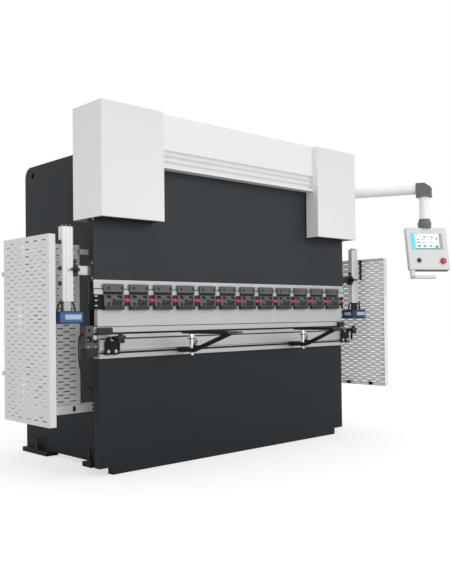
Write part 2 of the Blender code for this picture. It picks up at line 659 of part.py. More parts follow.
def rear_equipment():
    """Oil tank between the side plates, motor on it and the electrical cabinet outside."""
    half = SIDE_IN - GAP
    tank_top = TANK_BOTTOM + TANK_HEIGHT
    tank = box("oil_tank", (-half, TANK_FRONT, TANK_BOTTOM), (half, TANK_BACK, tank_top), "anthracite")
    inside = box("tank_inside", (-half + TANK_WALL, TANK_FRONT + TANK_WALL, TANK_BOTTOM + TANK_WALL),
                 (half - TANK_WALL, TANK_BACK - TANK_WALL, tank_top - TANK_WALL))
    neck = Vector((-0.550, TANK_BACK - 0.100, tank_top))
    filler = rod("tank_filler", neck - Vector((0, 0, TANK_WALL)), neck + Vector((0, 0, NECK_HEIGHT)),
                 NECK_RADIUS)
    mouth = rod("tank_mouth", neck - Vector((0, 0, TANK_WALL + 0.010)),
                neck + Vector((0, 0, NECK_HEIGHT + 0.010)),
                NECK_RADIUS - TANK_WALL)
    cut(add(cut(tank, inside), filler), mouth)
    y = (TANK_FRONT + TANK_BACK) / 2
    base = tank_top + GAP
    z = base + 0.012 + MOTOR_RADIUS
    motor = rod("pump_motor", (0.10, y, z), (0.10 + MOTOR_LENGTH, y, z), MOTOR_RADIUS, "anthracite", 40)
    foot = box("motor_foot", (0.15, y - 0.090, base),
               (0.05 + MOTOR_LENGTH, y + 0.090, z - MOTOR_RADIUS * 0.6))
    pump = rod("motor_pump", (-0.06, y, z), (0.11, y, z), MOTOR_RADIUS * 0.55, segments=24)
    terminals = box("motor_terminals", (0.20, y - 0.060, z + MOTOR_RADIUS * 0.7),
                    (0.32, y + 0.060, z + MOTOR_RADIUS + 0.045))
    add(motor, foot, pump, terminals)
    near = SIDE_OUT + GAP
    deep, wide, high = CABINET
    cabinet = mirror_box("electrical_cabinet", 1, (near, CABINET_FRONT, CABINET_BOTTOM),
                         (near + deep, CABINET_FRONT + wide, CABINET_BOTTOM + high), "white")
    cut(cabinet, mirror_box("cabinet_inside", 1,
                            (near - 0.010, CABINET_FRONT + CABINET_LIP, CABINET_BOTTOM + CABINET_LIP),
                            (near + deep - SHEET, CABINET_FRONT + wide - CABINET_LIP,
                             CABINET_BOTTOM + high - CABINET_LIP)))


def guard(side_name, side):
    """Fixed rear frame of a side guard with its hinge pins, and the outer door that swings on them."""
    hinge = (GUARD_X + HINGE_OFFSET, GUARD_BACK + 0.007)
    name = side_name + "_guard_frame"
    inner = SIDE_OUT + GUARD_PANEL_INSET
    outer = GUARD_X - GUARD_RIM - 0.002
    front = GUARD_BACK - GUARD_PANEL_DEPTH
    frame = mirror_box(name, side, (inner, front, GUARD_BOTTOM), (outer, GUARD_BACK, GUARD_TOP), "guard_grey")
    tray = mirror_box(name + "_tray", side, (inner + SHEET, front + SHEET, GUARD_BOTTOM + SHEET),
                      (outer - SHEET, GUARD_BACK + 0.01, GUARD_TOP - SHEET))
    cut(frame, tray)
    top = mirror_box(name + "_top", side, (SIDE_OUT + GAP, front, GUARD_TOP - 0.061),
                     (inner + 0.010, GUARD_BACK, GUARD_TOP - 0.026))
    bottom = mirror_box(name + "_bottom", side, (SIDE_OUT + GAP, front - 0.055, GUARD_BOTTOM),
                        (outer, GUARD_BACK, GUARD_BOTTOM + 0.056))
    add(frame, top, bottom)
    door_name = side_name + "_guard_door"
    back = GUARD_DOOR_LENGTH - GUARD_FRONT
    door = mirror_box(door_name, side, (GUARD_X - GUARD_RIM, -GUARD_FRONT, GUARD_BOTTOM),
                      (GUARD_X, back, GUARD_TOP), "guard_grey")
    hollow = mirror_box(door_name + "_hollow", side,
                        (GUARD_X - GUARD_RIM - 0.01, -GUARD_FRONT + SHEET, GUARD_BOTTOM + SHEET),
                        (GUARD_X - SHEET, back - SHEET, GUARD_TOP - SHEET))
    cut(door, hollow)
    for i, rise in enumerate(HINGE_HEIGHTS):
        z = GUARD_BOTTOM + rise
        x, y = side * hinge[0], hinge[1]
        leaf = mirror_box(name + "_leaf%d" % i, side, (outer - 0.040, GUARD_BACK - 0.002, z),
                          (hinge[0] - 0.002, GUARD_BACK + 0.004, z + KNUCKLE))
        barrel = rod(name + "_barrel%d" % i, (x, y, z), (x, y, z + KNUCKLE), HINGE_RADIUS, segments=16)
        pin = rod(name + "_pin%d" % i, (x, y, z + KNUCKLE / 2), (x, y, z + 2 * KNUCKLE), HINGE_PIN,
                  segments=12)
        add(frame, leaf, barrel, pin)
        z += KNUCKLE + GAP
        door_leaf = mirror_box(door_name + "_leaf%d" % i, side, (GUARD_X - SHEET, back - 0.015, z),
                               (hinge[0] - 0.004, hinge[1], z + KNUCKLE))
        door_barrel = rod(door_name + "_barrel%d" % i, (x, y, z), (x, y, z + KNUCKLE), HINGE_RADIUS,
                          segments=16)
        add(door, door_leaf, door_barrel)
        cut(door, rod(door_name + "_hole%d" % i, (x, y, z - 0.01), (x, y, z + KNUCKLE + 0.01),
                      HINGE_PIN + BORE_GAP, segments=12))
    hang_on(side_name + "_guard_hinge", (side * hinge[0], hinge[1], GUARD_BOTTOM), [door])


def support(side_name, x, length):
    """Carriage on the T-slot rail with its post, and the sheet support arm that slides up the post."""
    rail_face = TOP_RAIL_FRONT - GAP
    right = x + CARRIAGE_WIDTH
    name = side_name + "_support_carriage"
    carriage = box(name, (x, rail_face - CARRIAGE_DEPTH, SLOT_Z + CARRIAGE_Z[0]),
                   (right, rail_face, SLOT_Z + CARRIAGE_Z[1]), "black")
    key = box(name + "_key", (x + 0.010, rail_face - 0.010, SLOT_Z + GAP),
              (right - 0.010, TOP_RAIL_FRONT + SLOT_DEPTH / 2, SLOT_Z + SLOT_HEIGHT - GAP))
    beam_low, beam_top = SLOT_Z + BEAM_Z[0], SLOT_Z + BEAM_Z[1]
    beam = box(name + "_beam", (x - BEAM_HALF, -CARRIAGE_REACH, beam_low),
               (x + BEAM_HALF, rail_face - 0.020, beam_top))
    band = rod(name + "_band", (x, -POST_Y, beam_low - 0.004), (x, -POST_Y, beam_top), BAND_RADIUS,
               segments=24)
    post = rod(name + "_post", (x, -POST_Y, SLOT_Z - POST_BELOW), (x, -POST_Y, ARM_HEIGHT - GAP), POST_RADIUS,
               segments=24)
    add(carriage, key, beam, band, post)
    name = side_name + "_support_arm"
    wide, high = ARM_BAR
    tip = -ARM_START - length
    bar = box(name, (x - wide / 2, tip, ARM_HEIGHT), (x + wide / 2, -ARM_START, ARM_HEIGHT + high), "black")
    low_z = beam_top + 0.002
    upper = rod(name + "_upper", (x, -POST_Y, ARM_HEIGHT - 0.024), (x, -POST_Y, ARM_HEIGHT + 0.004),
                BAND_RADIUS,
                segments=24)
    lower = rod(name + "_lower", (x, -POST_Y, low_z), (x, -POST_Y, low_z + 0.024), 0.019, segments=24)
    link = box(name + "_link", (x - 0.009, -POST_Y - 0.058, low_z),
               (x + 0.009, -POST_Y - 0.014, low_z + 0.019))
    start = Vector((x, -POST_Y - 0.048, low_z + STRUT_RADIUS + 0.0015))
    end = Vector((x, tip + 0.083, ARM_HEIGHT + 0.005))
    strut = rod(name + "_strut", start, end, STRUT_RADIUS, segments=12)
    add(bar, upper, lower, link, strut)
    cut(bar, rod(name + "_bore", (x, -POST_Y, low_z - 0.01), (x, -POST_Y, ARM_HEIGHT + GAP),
                 POST_RADIUS + BORE_GAP, segments=24))
    slide = hang_on(side_name + "_support_slide", (x, rail_face, SLOT_Z), [carriage])
    hang_on(side_name + "_support_lift", (x, -POST_Y, SLOT_Z), [bar], slide)


def rail_bracket(side_name, x):
    """End plate on the top rail with the boss and latch bar that carry its star knob."""
    name = side_name + "_rail_bracket"
    half = BRACKET_WIDTH / 2
    rail_face = TOP_RAIL_FRONT - GAP
    front = rail_face - BRACKET_THICKNESS
    bottom, top = SLOT_Z + BRACKET_Z[0], SLOT_Z + BRACKET_Z[1]
    profile = [(x - half, bottom), (x + half, bottom), (x + half, top), (x - half + BRACKET_CORNER, top),
               (x - half, top - BRACKET_CORNER)]
    bracket = outline(name, profile, "Y", front, rail_face, "black")
    for i, offset in enumerate((-BRACKET_BOLT, BRACKET_BOLT)):
        add(bracket, rod(name + "_bolt%d" % i, (x + offset, front - 0.007, bottom + 0.020),
                         (x + offset, front + 0.005, bottom + 0.020), 0.010, segments=6))
    axle = (x + STAR_OFFSET, top - BOSS_RADIUS)
    boss_front = front - BOSS_LENGTH
    boss = rod(name + "_boss", (axle[0], boss_front, axle[1]), (axle[0], front + 0.005, axle[1]), BOSS_RADIUS,
               segments=20)
    wide, deep, long = LATCH
    latch = box(name + "_latch", (axle[0] - wide / 2, boss_front, axle[1] - long),
                (axle[0] + wide / 2, boss_front + deep, axle[1] - BOSS_RADIUS / 2))
    add(bracket, boss, latch)
    hub_back = boss_front - 0.0015
    hub_front = hub_back - STAR_LENGTH
    stem_end = front + 0.002
    name = side_name + "_star_knob"
    knob = rod(name, (axle[0], hub_back, axle[1]), (axle[0], hub_front, axle[1]), STAR_RADIUS * 0.62,
               "black", 24)
    for i in range(5):
        turn = math.radians(90 + 72 * i)
        lobe = (axle[0] + STAR_RADIUS * 0.66 * math.cos(turn), axle[1] + STAR_RADIUS * 0.66 * math.sin(turn))
        add(knob, rod(name + "_lobe%d" % i, (lobe[0], hub_back - 0.001, lobe[1]),
                      (lobe[0], hub_front + 0.004, lobe[1]), STAR_RADIUS * 0.34, segments=14))
    add(knob, rod(name + "_stem", (axle[0], hub_back - 0.004, axle[1]), (axle[0], stem_end, axle[1]),
                  STEM_RADIUS,
                  segments=16))
    cut(bracket, rod(side_name + "_knob_bore", (axle[0], boss_front - 0.01, axle[1]),
                     (axle[0], stem_end + GAP, axle[1]), STEM_RADIUS + BORE_GAP, segments=16))
    hang_on(side_name + "_star_axis", (axle[0], hub_back, axle[1]), [knob])


def scale_reader():
    """Ram scale reader at the left end of the table, its terminal box and the cable to the frame."""
    right = -PUNCH_HALF - GAP
    left = right - READER[0]
    front = -READER[1] / 2
    body = box("scale_reader", (left, front, READER_BOTTOM), (right, -front, READER_BOTTOM + READER[2]),
               "elbow_grey")
    shelf = box("reader_shelf", (left - 0.005, front - 0.004, READER_BOTTOM - 0.024),
                (right, -front, READER_BOTTOM + 0.002))
    terminal = box("reader_terminal", (left + 0.002, front,
                                       READER_BOTTOM - 0.022 - TERMINAL_HEIGHT + 0.020),
                   (right, -front, READER_BOTTOM - 0.020))
    add(body, shelf, terminal)
    curve = bpy.data.curves.new("reader_cable", "CURVE")
    curve.dimensions = "3D"
    curve.bevel_depth = CABLE_RADIUS
    curve.bevel_resolution = 2
    curve.use_fill_caps = True
    smooth = smooth_route(CABLE_PATH, 3)
    spline = curve.splines.new("POLY")
    spline.points.add(len(smooth) - 1)
    for point, at in zip(spline.points, smooth):
        point.co = (*at, 1)
    cable = solid_from_curve(bpy.data.objects.new("reader_cable", curve), "reader_cable", "cable", Matrix())
    cable.data.shade_smooth()
    end = CABLE_PATH[-1]
    gland = rod("cable_gland", (-SIDE_OUT + 0.010, end[1], end[2]),
                (-SIDE_OUT - GLAND_LENGTH, end[1], end[2]), 0.010, segments=6)
    add(bpy.data.objects["left_side_plate"], gland)


def smooth_route(points, steps):
    """Catmull-Rom curve through the route's own points."""
    path = [Vector(p) for p in points]
    ends = [2 * path[0] - path[1]] + path + [2 * path[-1] - path[-2]]
    out = [path[0]]
    for a, b, c, d in zip(ends, ends[1:], ends[2:], ends[3:]):
        for i in range(1, steps + 1):
            t = i / steps
            out.append(0.5 * (2 * b + (c - a) * t + (2 * a - 5 * b + 4 * c - d) * t * t
                              + (3 * b - a - 3 * c + d) * t * t * t))
    return out


def back_gauge():
    """Two rails behind the table, the beam that runs on them, its screw and two stop fingers."""
    rail_front = BACK + GAP
    for side_name, side in SIDES:
        mirror_box(side_name + "_gauge_rail", side,
                   (GAUGE_RAIL_X - GAUGE_RAIL[0] / 2, rail_front, GAUGE_RAIL_Z),
                   (GAUGE_RAIL_X + GAUGE_RAIL[0] / 2, rail_front + GAUGE_RAIL_LENGTH,
                    GAUGE_RAIL_Z + GAUGE_RAIL[1]), "machined")
    deep, high = GAUGE_BEAM
    front, back = GAUGE_Y - deep / 2, GAUGE_Y + deep / 2
    beam = box("gauge_beam", (-GAUGE_HALF, front, GAUGE_BEAM_Z), (GAUGE_HALF, back, GAUGE_BEAM_Z + high),
               "aluminium")
    shoe_top = GAUGE_RAIL_Z + GAUGE_RAIL[1] + GAP
    for side_name, side in SIDES:
        add(beam, mirror_box(side_name + "_shoe", side, (GAUGE_RAIL_X - 0.030, front - 0.010, shoe_top),
                             (GAUGE_RAIL_X + 0.030, back + 0.010, GAUGE_BEAM_Z + 0.004)))
    nut = box("gauge_nut", (-0.030, front, SCREW_Z - 0.027), (0.030, back, GAUGE_BEAM_Z + 0.004))
    add(beam, nut)
    cut(beam, rod("nut_bore", (0, front - 0.01, SCREW_Z), (0, back + 0.01, SCREW_Z),
                  SCREW_RADIUS + BORE_GAP, segments=24))
    screw = rod("gauge_screw", (0, rail_front, SCREW_Z), (0, rail_front + GAUGE_RAIL_LENGTH, SCREW_Z),
                SCREW_RADIUS, "chrome", 24)
    seat = GAUGE_BEAM_Z + high + GAP
    fingers = []
    for side_name, side in SIDES:
        x = side * FINGER_X
        half = FINGER_WIDTH / 2
        name = side_name + "_gauge_finger"
        finger = box(name, (x - half, front - 0.010, seat), (x + half, back, seat + 0.050), "clamp_grey")
        stop = box(name + "_stop", (x - half * 0.6, GAUGE_Y - FINGER_REACH, WORKING_HEIGHT + 0.002),
                   (x + half * 0.6, front, WORKING_HEIGHT + 0.002 + FINGER_HEIGHT))
        fingers.append(add(finger, stop))
    carriage = hang_on("gauge_slide", (0, GAUGE_Y, GAUGE_BEAM_Z), [beam])
    hang_on("screw_spin", (0, rail_front, SCREW_Z), [screw])
    for (side_name, side), finger in zip(SIDES, fingers):
        hang_on(side_name + "_finger_slide", (side * FINGER_X, GAUGE_Y, seat), [finger], carriage)


def pendant():
    """Swivelling arm with the tilted control box, its emergency stop and selector."""
    z = ARM_Z
    half = HUB_HEIGHT / 2
    face = COVER_OUT + GAP
    bracket = box("pendant_bracket", (face, PIVOT.y - 0.070, z - 0.090),
                  (face + 0.012, PIVOT.y + 0.070, z + 0.090), "elbow_grey")
    for name, low in (("upper", half + GAP), ("lower", -half - GAP - 0.014)):
        lug = box("bracket_" + name, (face + 0.010, PIVOT.y - 0.035, z + low),
                  (PIVOT.x, PIVOT.y + 0.035, z + low + 0.014))
        nose = rod("bracket_nose_" + name, (PIVOT.x, PIVOT.y, z + low),
                   (PIVOT.x, PIVOT.y, z + low + 0.014), 0.035, segments=32)
        add(bracket, lug, nose)
    add(bracket, rod("bracket_pin", PIVOT - Vector((0, 0, half + 0.010)),
                     PIVOT + Vector((0, 0, half + 0.010)), PIVOT_RADIUS, segments=24))
    arm = rod("pendant_arm", PIVOT - Vector((0, 0, half)), PIVOT + Vector((0, 0, half)), HUB_RADIUS,
              "white", 32)
    reach = (ELBOW_AT - PIVOT).normalized()
    tube = rod("arm_tube", PIVOT + reach * 0.030, ELBOW_AT, TUBE_RADIUS, segments=32)
    turn = Matrix.Translation(ELBOW_AT) @ Matrix.Rotation(SWING, 4, "Z")
    e = ELBOW / 2
    elbow = box("arm_elbow", (-e * 0.84, -e, -e * 0.94 - ELBOW_LOW), (e * 0.84, e, e * 0.94 - ELBOW_LOW),
                matrix=turn)
    drop = rod("arm_drop", ELBOW_AT, ELBOW_AT - Vector((0, 0, DROP_LENGTH)), TUBE_RADIUS, segments=32)
    add(arm, tube, elbow, drop)
    cut(arm, rod("arm_bore", PIVOT - Vector((0, 0, half + 0.01)), PIVOT + Vector((0, 0, half + 0.01)),
                 PIVOT_RADIUS + BORE_GAP, segments=24))
    collar_top = ELBOW_AT - Vector((0, 0, DROP_LENGTH + GAP))
    turn = Matrix.Rotation(math.radians(BOX_TURN), 4, "Z") @ Matrix.Rotation(math.radians(BOX_TILT), 4, "X")
    at = Matrix.Translation(collar_top - Vector((0, 0, COLLAR_HEIGHT))) @ turn
    wide, deep, high = BOX
    case = box("pendant_box", (-wide / 2, -deep / 2, -high), (wide / 2, deep / 2, 0), "white", at)
    top_edge = deep / 2 * math.sin(math.radians(-BOX_TILT))
    collar = rod("box_collar", collar_top, collar_top - Vector((0, 0, COLLAR_HEIGHT - top_edge + 0.0005)),
                 COLLAR_RADIUS, segments=32)
    stub = rod("collar_stub", collar_top - Vector((0, 0, COLLAR_HEIGHT / 2)),
               collar_top - Vector((0, 0, COLLAR_HEIGHT + COLLAR_STUB)), deep * 0.35, segments=24)
    left = -wide / 2 + HANDLE_INSET
    handle_long, thick, handle_drop = HANDLE
    handle_foot = -high - handle_drop
    handle = [box("handle_leg", (left, -thick / 2, handle_foot), (left + HANDLE_LEG, thick / 2, -high + 0.01),
                  matrix=at),
              box("handle_bar", (left, -thick / 2, handle_foot),
                  (left + handle_long, thick / 2, handle_foot + thick), matrix=at)]
    add(case, collar, stub, *handle)
    face_y = -deep / 2
    stop_at = Vector((wide * STOP_AT[0], face_y, high * STOP_AT[1]))
    turn_at = Vector((wide * SELECTOR_AT[0], face_y, high * SELECTOR_AT[1]))
    stop = rod("emergency_stop", at @ (stop_at + Vector((0, -BUTTON_POST, 0))),
               at @ (stop_at + Vector((0, -BUTTON_POST - 0.014, 0))),
               STOP_RADIUS * 0.92, "red", 32, STOP_RADIUS * 0.8)
    stem = rod("stop_stem", at @ (stop_at + Vector((0, 0.020, 0))),
               at @ (stop_at + Vector((0, -BUTTON_POST - 0.004, 0))), 0.010, segments=20)
    add(stop, stem)
    stop_bore = rod("stop_bore", at @ (stop_at + Vector((0, 0.020 + STOP_TRAVEL + GAP, 0))),
                    at @ (stop_at + Vector((0, -0.01, 0))),
                    0.010 + BORE_GAP, segments=20)
    selector = rod("selector_switch", at @ (turn_at + Vector((0, -GAP, 0))),
                   at @ (turn_at + Vector((0, -0.012, 0))),
                   SELECTOR_RADIUS, "black", 24)
    blade = box("selector_blade", (turn_at.x - 0.004, turn_at.y - 0.022, turn_at.z - 0.011),
                (turn_at.x + 0.004, turn_at.y - 0.010, turn_at.z + 0.011), matrix=at)
    stem = rod("selector_stem", at @ (turn_at + Vector((0, 0.015, 0))),
               at @ (turn_at + Vector((0, -0.006, 0))), 0.005, segments=16)
    add(selector, blade, stem)
    selector_bore = rod("selector_bore", at @ (turn_at + Vector((0, 0.0153, 0))),
                        at @ (turn_at + Vector((0, -0.01, 0))),
                        0.005 + BORE_GAP, segments=16)
    cut(case, stop_bore, selector_bore)
    swing = hang_on("pendant_swing", PIVOT, [arm])
    swivel = hang_on("pendant_swivel", collar_top, [case], swing)
    hang_on("stop_push", at @ stop_at, [stop], swivel, turn)
    hang_on("selector_turn", at @ turn_at, [selector], swivel, turn)


def build():
    for side_name, side in SIDES:
        side_plate(side_name, side)
        cylinder(side_name, side)
        cylinder_cover(side_name, side)
        guard(side_name, side)
    table()
    ram_slide = hang_on("ram_slide", (0, 0, SHOULDER_Z), ram())
    for side_name, side in SIDES:
        hang_on(side_name + "_column_lift", (side * (HALF_RAM + COLUMN_OFFSET), 0, COLUMN_BRACKET_Z),
                [column(side_name, side)], ram_slide)
    centre_cover()
    rear_equipment()
    for (side_name, side), x, length in zip(SIDES, SUPPORT_X, ARM_LENGTHS):
        support(side_name, x, length)
    for (side_name, side), x in zip(SIDES, BRACKET_X):
        rail_bracket(side_name, x)
    scale_reader()
    back_gauge()
    pendant()


build()
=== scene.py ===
"""Looks for the hydraulic press brake: paint, folded sheet, perforated guards, tools and pendant.

Metres, +Z up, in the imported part's frame: X runs along the bend and the operator stands at -Y.
"""
import math

import bmesh
import bpy
from mathutils import Matrix, Vector

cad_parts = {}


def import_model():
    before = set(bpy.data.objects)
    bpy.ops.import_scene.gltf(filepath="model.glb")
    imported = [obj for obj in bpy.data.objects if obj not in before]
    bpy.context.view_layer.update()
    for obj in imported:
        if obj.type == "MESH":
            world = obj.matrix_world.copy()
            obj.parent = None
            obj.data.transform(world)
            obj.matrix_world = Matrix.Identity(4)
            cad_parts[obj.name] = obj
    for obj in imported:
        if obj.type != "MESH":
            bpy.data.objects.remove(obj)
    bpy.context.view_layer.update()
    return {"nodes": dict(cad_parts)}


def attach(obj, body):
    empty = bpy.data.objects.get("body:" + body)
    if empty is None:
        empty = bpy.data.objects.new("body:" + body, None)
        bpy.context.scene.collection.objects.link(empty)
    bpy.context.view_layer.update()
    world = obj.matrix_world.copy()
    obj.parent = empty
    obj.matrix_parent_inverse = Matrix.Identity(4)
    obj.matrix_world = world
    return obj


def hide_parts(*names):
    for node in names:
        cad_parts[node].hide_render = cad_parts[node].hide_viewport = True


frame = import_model()

SIDES = (("left", -1), ("right", 1))
SHEET = 0.003               # thickness of folded sheet
PLATE_IN, PLATE_OUT = 0.9996, 1.0504    # just clear of a side plate's faces
UP, OUT = (0, 0, 1), (0, -1, 0)         # OUT points to the operator


# ---- finishes

def linear(*levels):
    """Linear colour from display levels 0 to 255: one for a grey, or three."""
    rgb = levels * 3 if len(levels) == 1 else levels
    return tuple(((c / 255 + 0.055) / 1.055) ** 2.4 if c > 10 else c / 255 / 12.92 for c in rgb)


def new_object(name, data):
    obj = bpy.data.objects.new(name, data)
    bpy.context.collection.objects.link(obj)
    return obj


def feed(tree, node, inputs):
    """Give a node's inputs their values, or link them to sockets."""
    for name, value in inputs.items():
        if isinstance(value, bpy.types.NodeSocket):
            tree.links.new(value, node.inputs[name])
        else:
            node.inputs[name].default_value = value


def add(tree, kind, inputs=None, **settings):
    """A shader node with its settings made and its inputs fed."""
    node = tree.nodes.new("ShaderNode" + kind)
    for name, value in settings.items():
        setattr(node, name, value)
    feed(tree, node, inputs or {})
    return node


def noise(tree, vector, scale, detail):
    return add(tree, "TexNoise", {"Scale": scale, "Detail": detail, "Vector": vector}).outputs["Fac"]


def remap(tree, value, low, high, from_low=0.3, from_high=0.7):
    limits = {"From Min": from_low, "From Max": from_high, "To Min": low, "To Max": high}
    return add(tree, "MapRange", {**limits, "Value": value}).outputs["Result"]


def mix(tree, factor, first, second):
    """Colour between two colours or sockets."""
    first, second = ((*c, 1) if isinstance(c, tuple) else c for c in (first, second))
    return add(tree, "Mix", {"Factor": factor, "A": first, "B": second}, data_type="RGBA").outputs["Result"]


def finish(name, rgb, roughness, metallic=0.0, mottle=0.05, cloud=5.0, grain=300.0, stretch=(1, 1, 1),
           relief=0.00015, spread=0.05, edge_wear_and_highlight=None, glow=0.0, gloss=0.5):
    """A finish whose tone drifts in clouds, with a fine grain in its roughness and relief.

    stretch squeezes the grain along each axis, which draws brush marks. The edge colour lightens edges to
    that colour, partly as wear and partly as a painted highlight.
    """
    material = bpy.data.materials.new(name)
    material.use_nodes = True
    tree = material.node_tree
    place = add(tree, "TexCoord").outputs["Object"]
    squeezed = add(tree, "Mapping", {"Scale": stretch, "Vector": place}).outputs["Vector"]
    fine, broad = noise(tree, squeezed, grain, 3), noise(tree, squeezed, cloud, 4)
    dark, light = (tuple(min(1, c * k) for c in rgb) for k in (1 - mottle, 1 + mottle))
    tone = mix(tree, remap(tree, broad, 0, 1), dark, light)
    tone = mix(tree, remap(tree, fine, 0, 0.35), tone, dark)
    if edge_wear_and_highlight:
        # Lighter edges where the rounded normal leaves the flat one: partly wear, partly a painted highlight.
        rounded = add(tree, "Bevel", {"Radius": 0.003}, samples=4).outputs["Normal"]
        flat = add(tree, "NewGeometry").outputs["Normal"]
        edge = add(tree, "VectorMath", {0: rounded, 1: flat}, operation="DOT_PRODUCT").outputs["Value"]
        tone = mix(tree, remap(tree, edge, 0.8, 0, 0.80, 0.98), tone, edge_wear_and_highlight)
    bump = add(tree, "Bump", {"Strength": 0.5, "Distance": relief, "Height": fine}).outputs["Normal"]
    rough = remap(tree, fine, roughness - spread, roughness + spread)
    shader = tree.nodes["Principled BSDF"]
    feed(tree, shader, {"Metallic": metallic, "Specular IOR Level": gloss, "Base Color": tone,
                        "Roughness": rough, "Normal": bump})
    if glow:
        feed(tree, shader, {"Emission Color": tone, "Emission Strength": glow})
    return material


ALONG_X = (0.03, 1, 1)      # brush marks that run along the bend
ALONG_Z = (1, 1, 0.03)

ANTHRACITE = finish("anthracite", linear(46, 51, 56), 0.45, mottle=0.06, cloud=1.6, edge_wear_and_highlight=linear(74, 79, 84),
                    gloss=0.25)
# Side plates and table wear the ram's anthracite in darker copies: painted shade for faces turned from the
# light and for the lower table.
SIDE_ANTHRACITE_SHADED = finish("side_anthracite_painted_shade", linear(27, 34, 39), 0.50, mottle=0.08, cloud=1.6,
                    edge_wear_and_highlight=linear(60, 65, 70), gloss=0.2)
TABLE_ANTHRACITE_SHADED = finish("table_anthracite_painted_shade", linear(37, 42, 46), 0.45, mottle=0.06, cloud=1.6,
                     edge_wear_and_highlight=linear(66, 71, 75), gloss=0.22)
# A darker copy of the white: painted shade that offsets the light on the box's up-tilted face.
PENDANT_WHITE_SHADED = finish("pendant_white_painted_shade", linear(220, 220, 219), 0.42, mottle=0.012, cloud=1.6)
# A lighter copy of the white: painted light that lifts the tube's shaded side.
TUBE_WHITE_LIT = finish("tube_white_painted_light", linear(250, 250, 250), 0.40, mottle=0.010, cloud=1.6)
WHITE = finish("white", linear(236, 237, 238), 0.42, mottle=0.012, cloud=1.2)
GUARD = finish("guard_grey", linear(222, 222, 222), 0.48, mottle=0.02, cloud=2.5)
# A lighter copy of the guard grey: painted light for panels that lie in shade or are seen from inside.
GUARD_GREY_LIT = finish("guard_grey_painted_light", linear(243, 243, 243), 0.48, mottle=0.02, cloud=2.5)
MACHINED = finish("machined", linear(199, 200, 201), 0.34, 0.35, 0.17, 12.0, 420.0, ALONG_X, 0.0001)
GROUND = finish("ground_steel", linear(199, 200, 201), 0.42, 0.30, 0.09, 6.0, 500.0, ALONG_X, 0.00008)
DARK_STEEL = finish("dark_steel", linear(98, 98, 97), 0.48, 0.45, 0.10, 30.0, 600.0)
LIP_STEEL = finish("lip_steel", linear(58, 57, 54), 0.50, 0.45, 0.12, 30.0, 600.0)
NIGHT = finish("night_steel", linear(28, 30, 33), 0.55, 0.0, 0.06, 4.0, 240.0, gloss=0.2)
BLACK = finish("black_paint", linear(33, 34, 35), 0.45, mottle=0.15, cloud=20.0, edge_wear_and_highlight=linear(70))
PLASTIC = finish("black_plastic", linear(26, 26, 27), 0.38, mottle=0.12, cloud=40.0, grain=900.0)
# Near-black, mostly painted shade in holes, slots, grooves and undercuts.
SHADOW_BLACK = finish("shadow_black", linear(10, 10, 11), 0.75, mottle=0.2, cloud=60.0)
ALUMINIUM = finish("aluminium", linear(226, 227, 229), 0.34, 0.25, 0.05, 10.0, 500.0, ALONG_Z, 0.0001)
CHROME = finish("chrome", linear(232), 0.10, 1.0, 0.03, 12.0, 500.0, ALONG_Z, 0.00003, 0.03)
ZINC = finish("zinc", linear(222, 222, 218), 0.28, 0.8, 0.08, 60.0, 900.0)
CAST_GREY = finish("cast_grey", linear(108, 109, 110), 0.52, mottle=0.05, cloud=25.0, grain=700.0)
BLUE = finish("sensor_blue", linear(50, 104, 168), 0.36, mottle=0.05, cloud=30.0, grain=900.0)
NAVY = finish("sensor_navy", linear(36, 54, 88), 0.40, mottle=0.06, cloud=30.0, grain=900.0)
LABEL = finish("label", linear(176, 198, 220), 0.45, mottle=0.05, cloud=60.0, grain=900.0)
RED = finish("red_plastic", linear(188, 42, 66), 0.30, mottle=0.06, cloud=50.0, grain=900.0,
             edge_wear_and_highlight=linear(226, 120, 130))
RUBBER = finish("cable_jacket", linear(24, 24, 24), 0.60, mottle=0.15, cloud=40.0, grain=1200.0)
CASTING = finish("reader_grey", linear(90, 91, 92), 0.50, 0.2, 0.10, 35.0, 700.0)
SCREEN_WHITE = finish("screen_white", linear(236, 240, 243), 0.22, mottle=0.01, cloud=20.0, relief=0.00001,
                      glow=0.10)
SCREEN_CYAN = finish("screen_cyan", linear(64, 216, 232), 0.22, mottle=0.10, cloud=9.0, relief=0.00001,
                     glow=0.18)
SCREEN_TEAL = finish("screen_teal", linear(62, 138, 160), 0.22, mottle=0.08, cloud=9.0, relief=0.00001,
                     glow=0.10)
SCREEN_GREY = finish("screen_grey", linear(158, 160, 162), 0.22, mottle=0.04, cloud=9.0, relief=0.00001,
                     glow=0.05)
SCREEN_INK = finish("screen_ink", linear(54, 66, 80), 0.30, mottle=0.05, cloud=30.0, relief=0.00001)
SCREEN_GREEN = finish("screen_green", linear(52, 172, 74), 0.25, mottle=0.06, cloud=30.0, relief=0.00001,
                      glow=0.08)


# ---- mesh helpers

SMOOTH_BELOW = 40           # degrees between faces that still shade as one surface


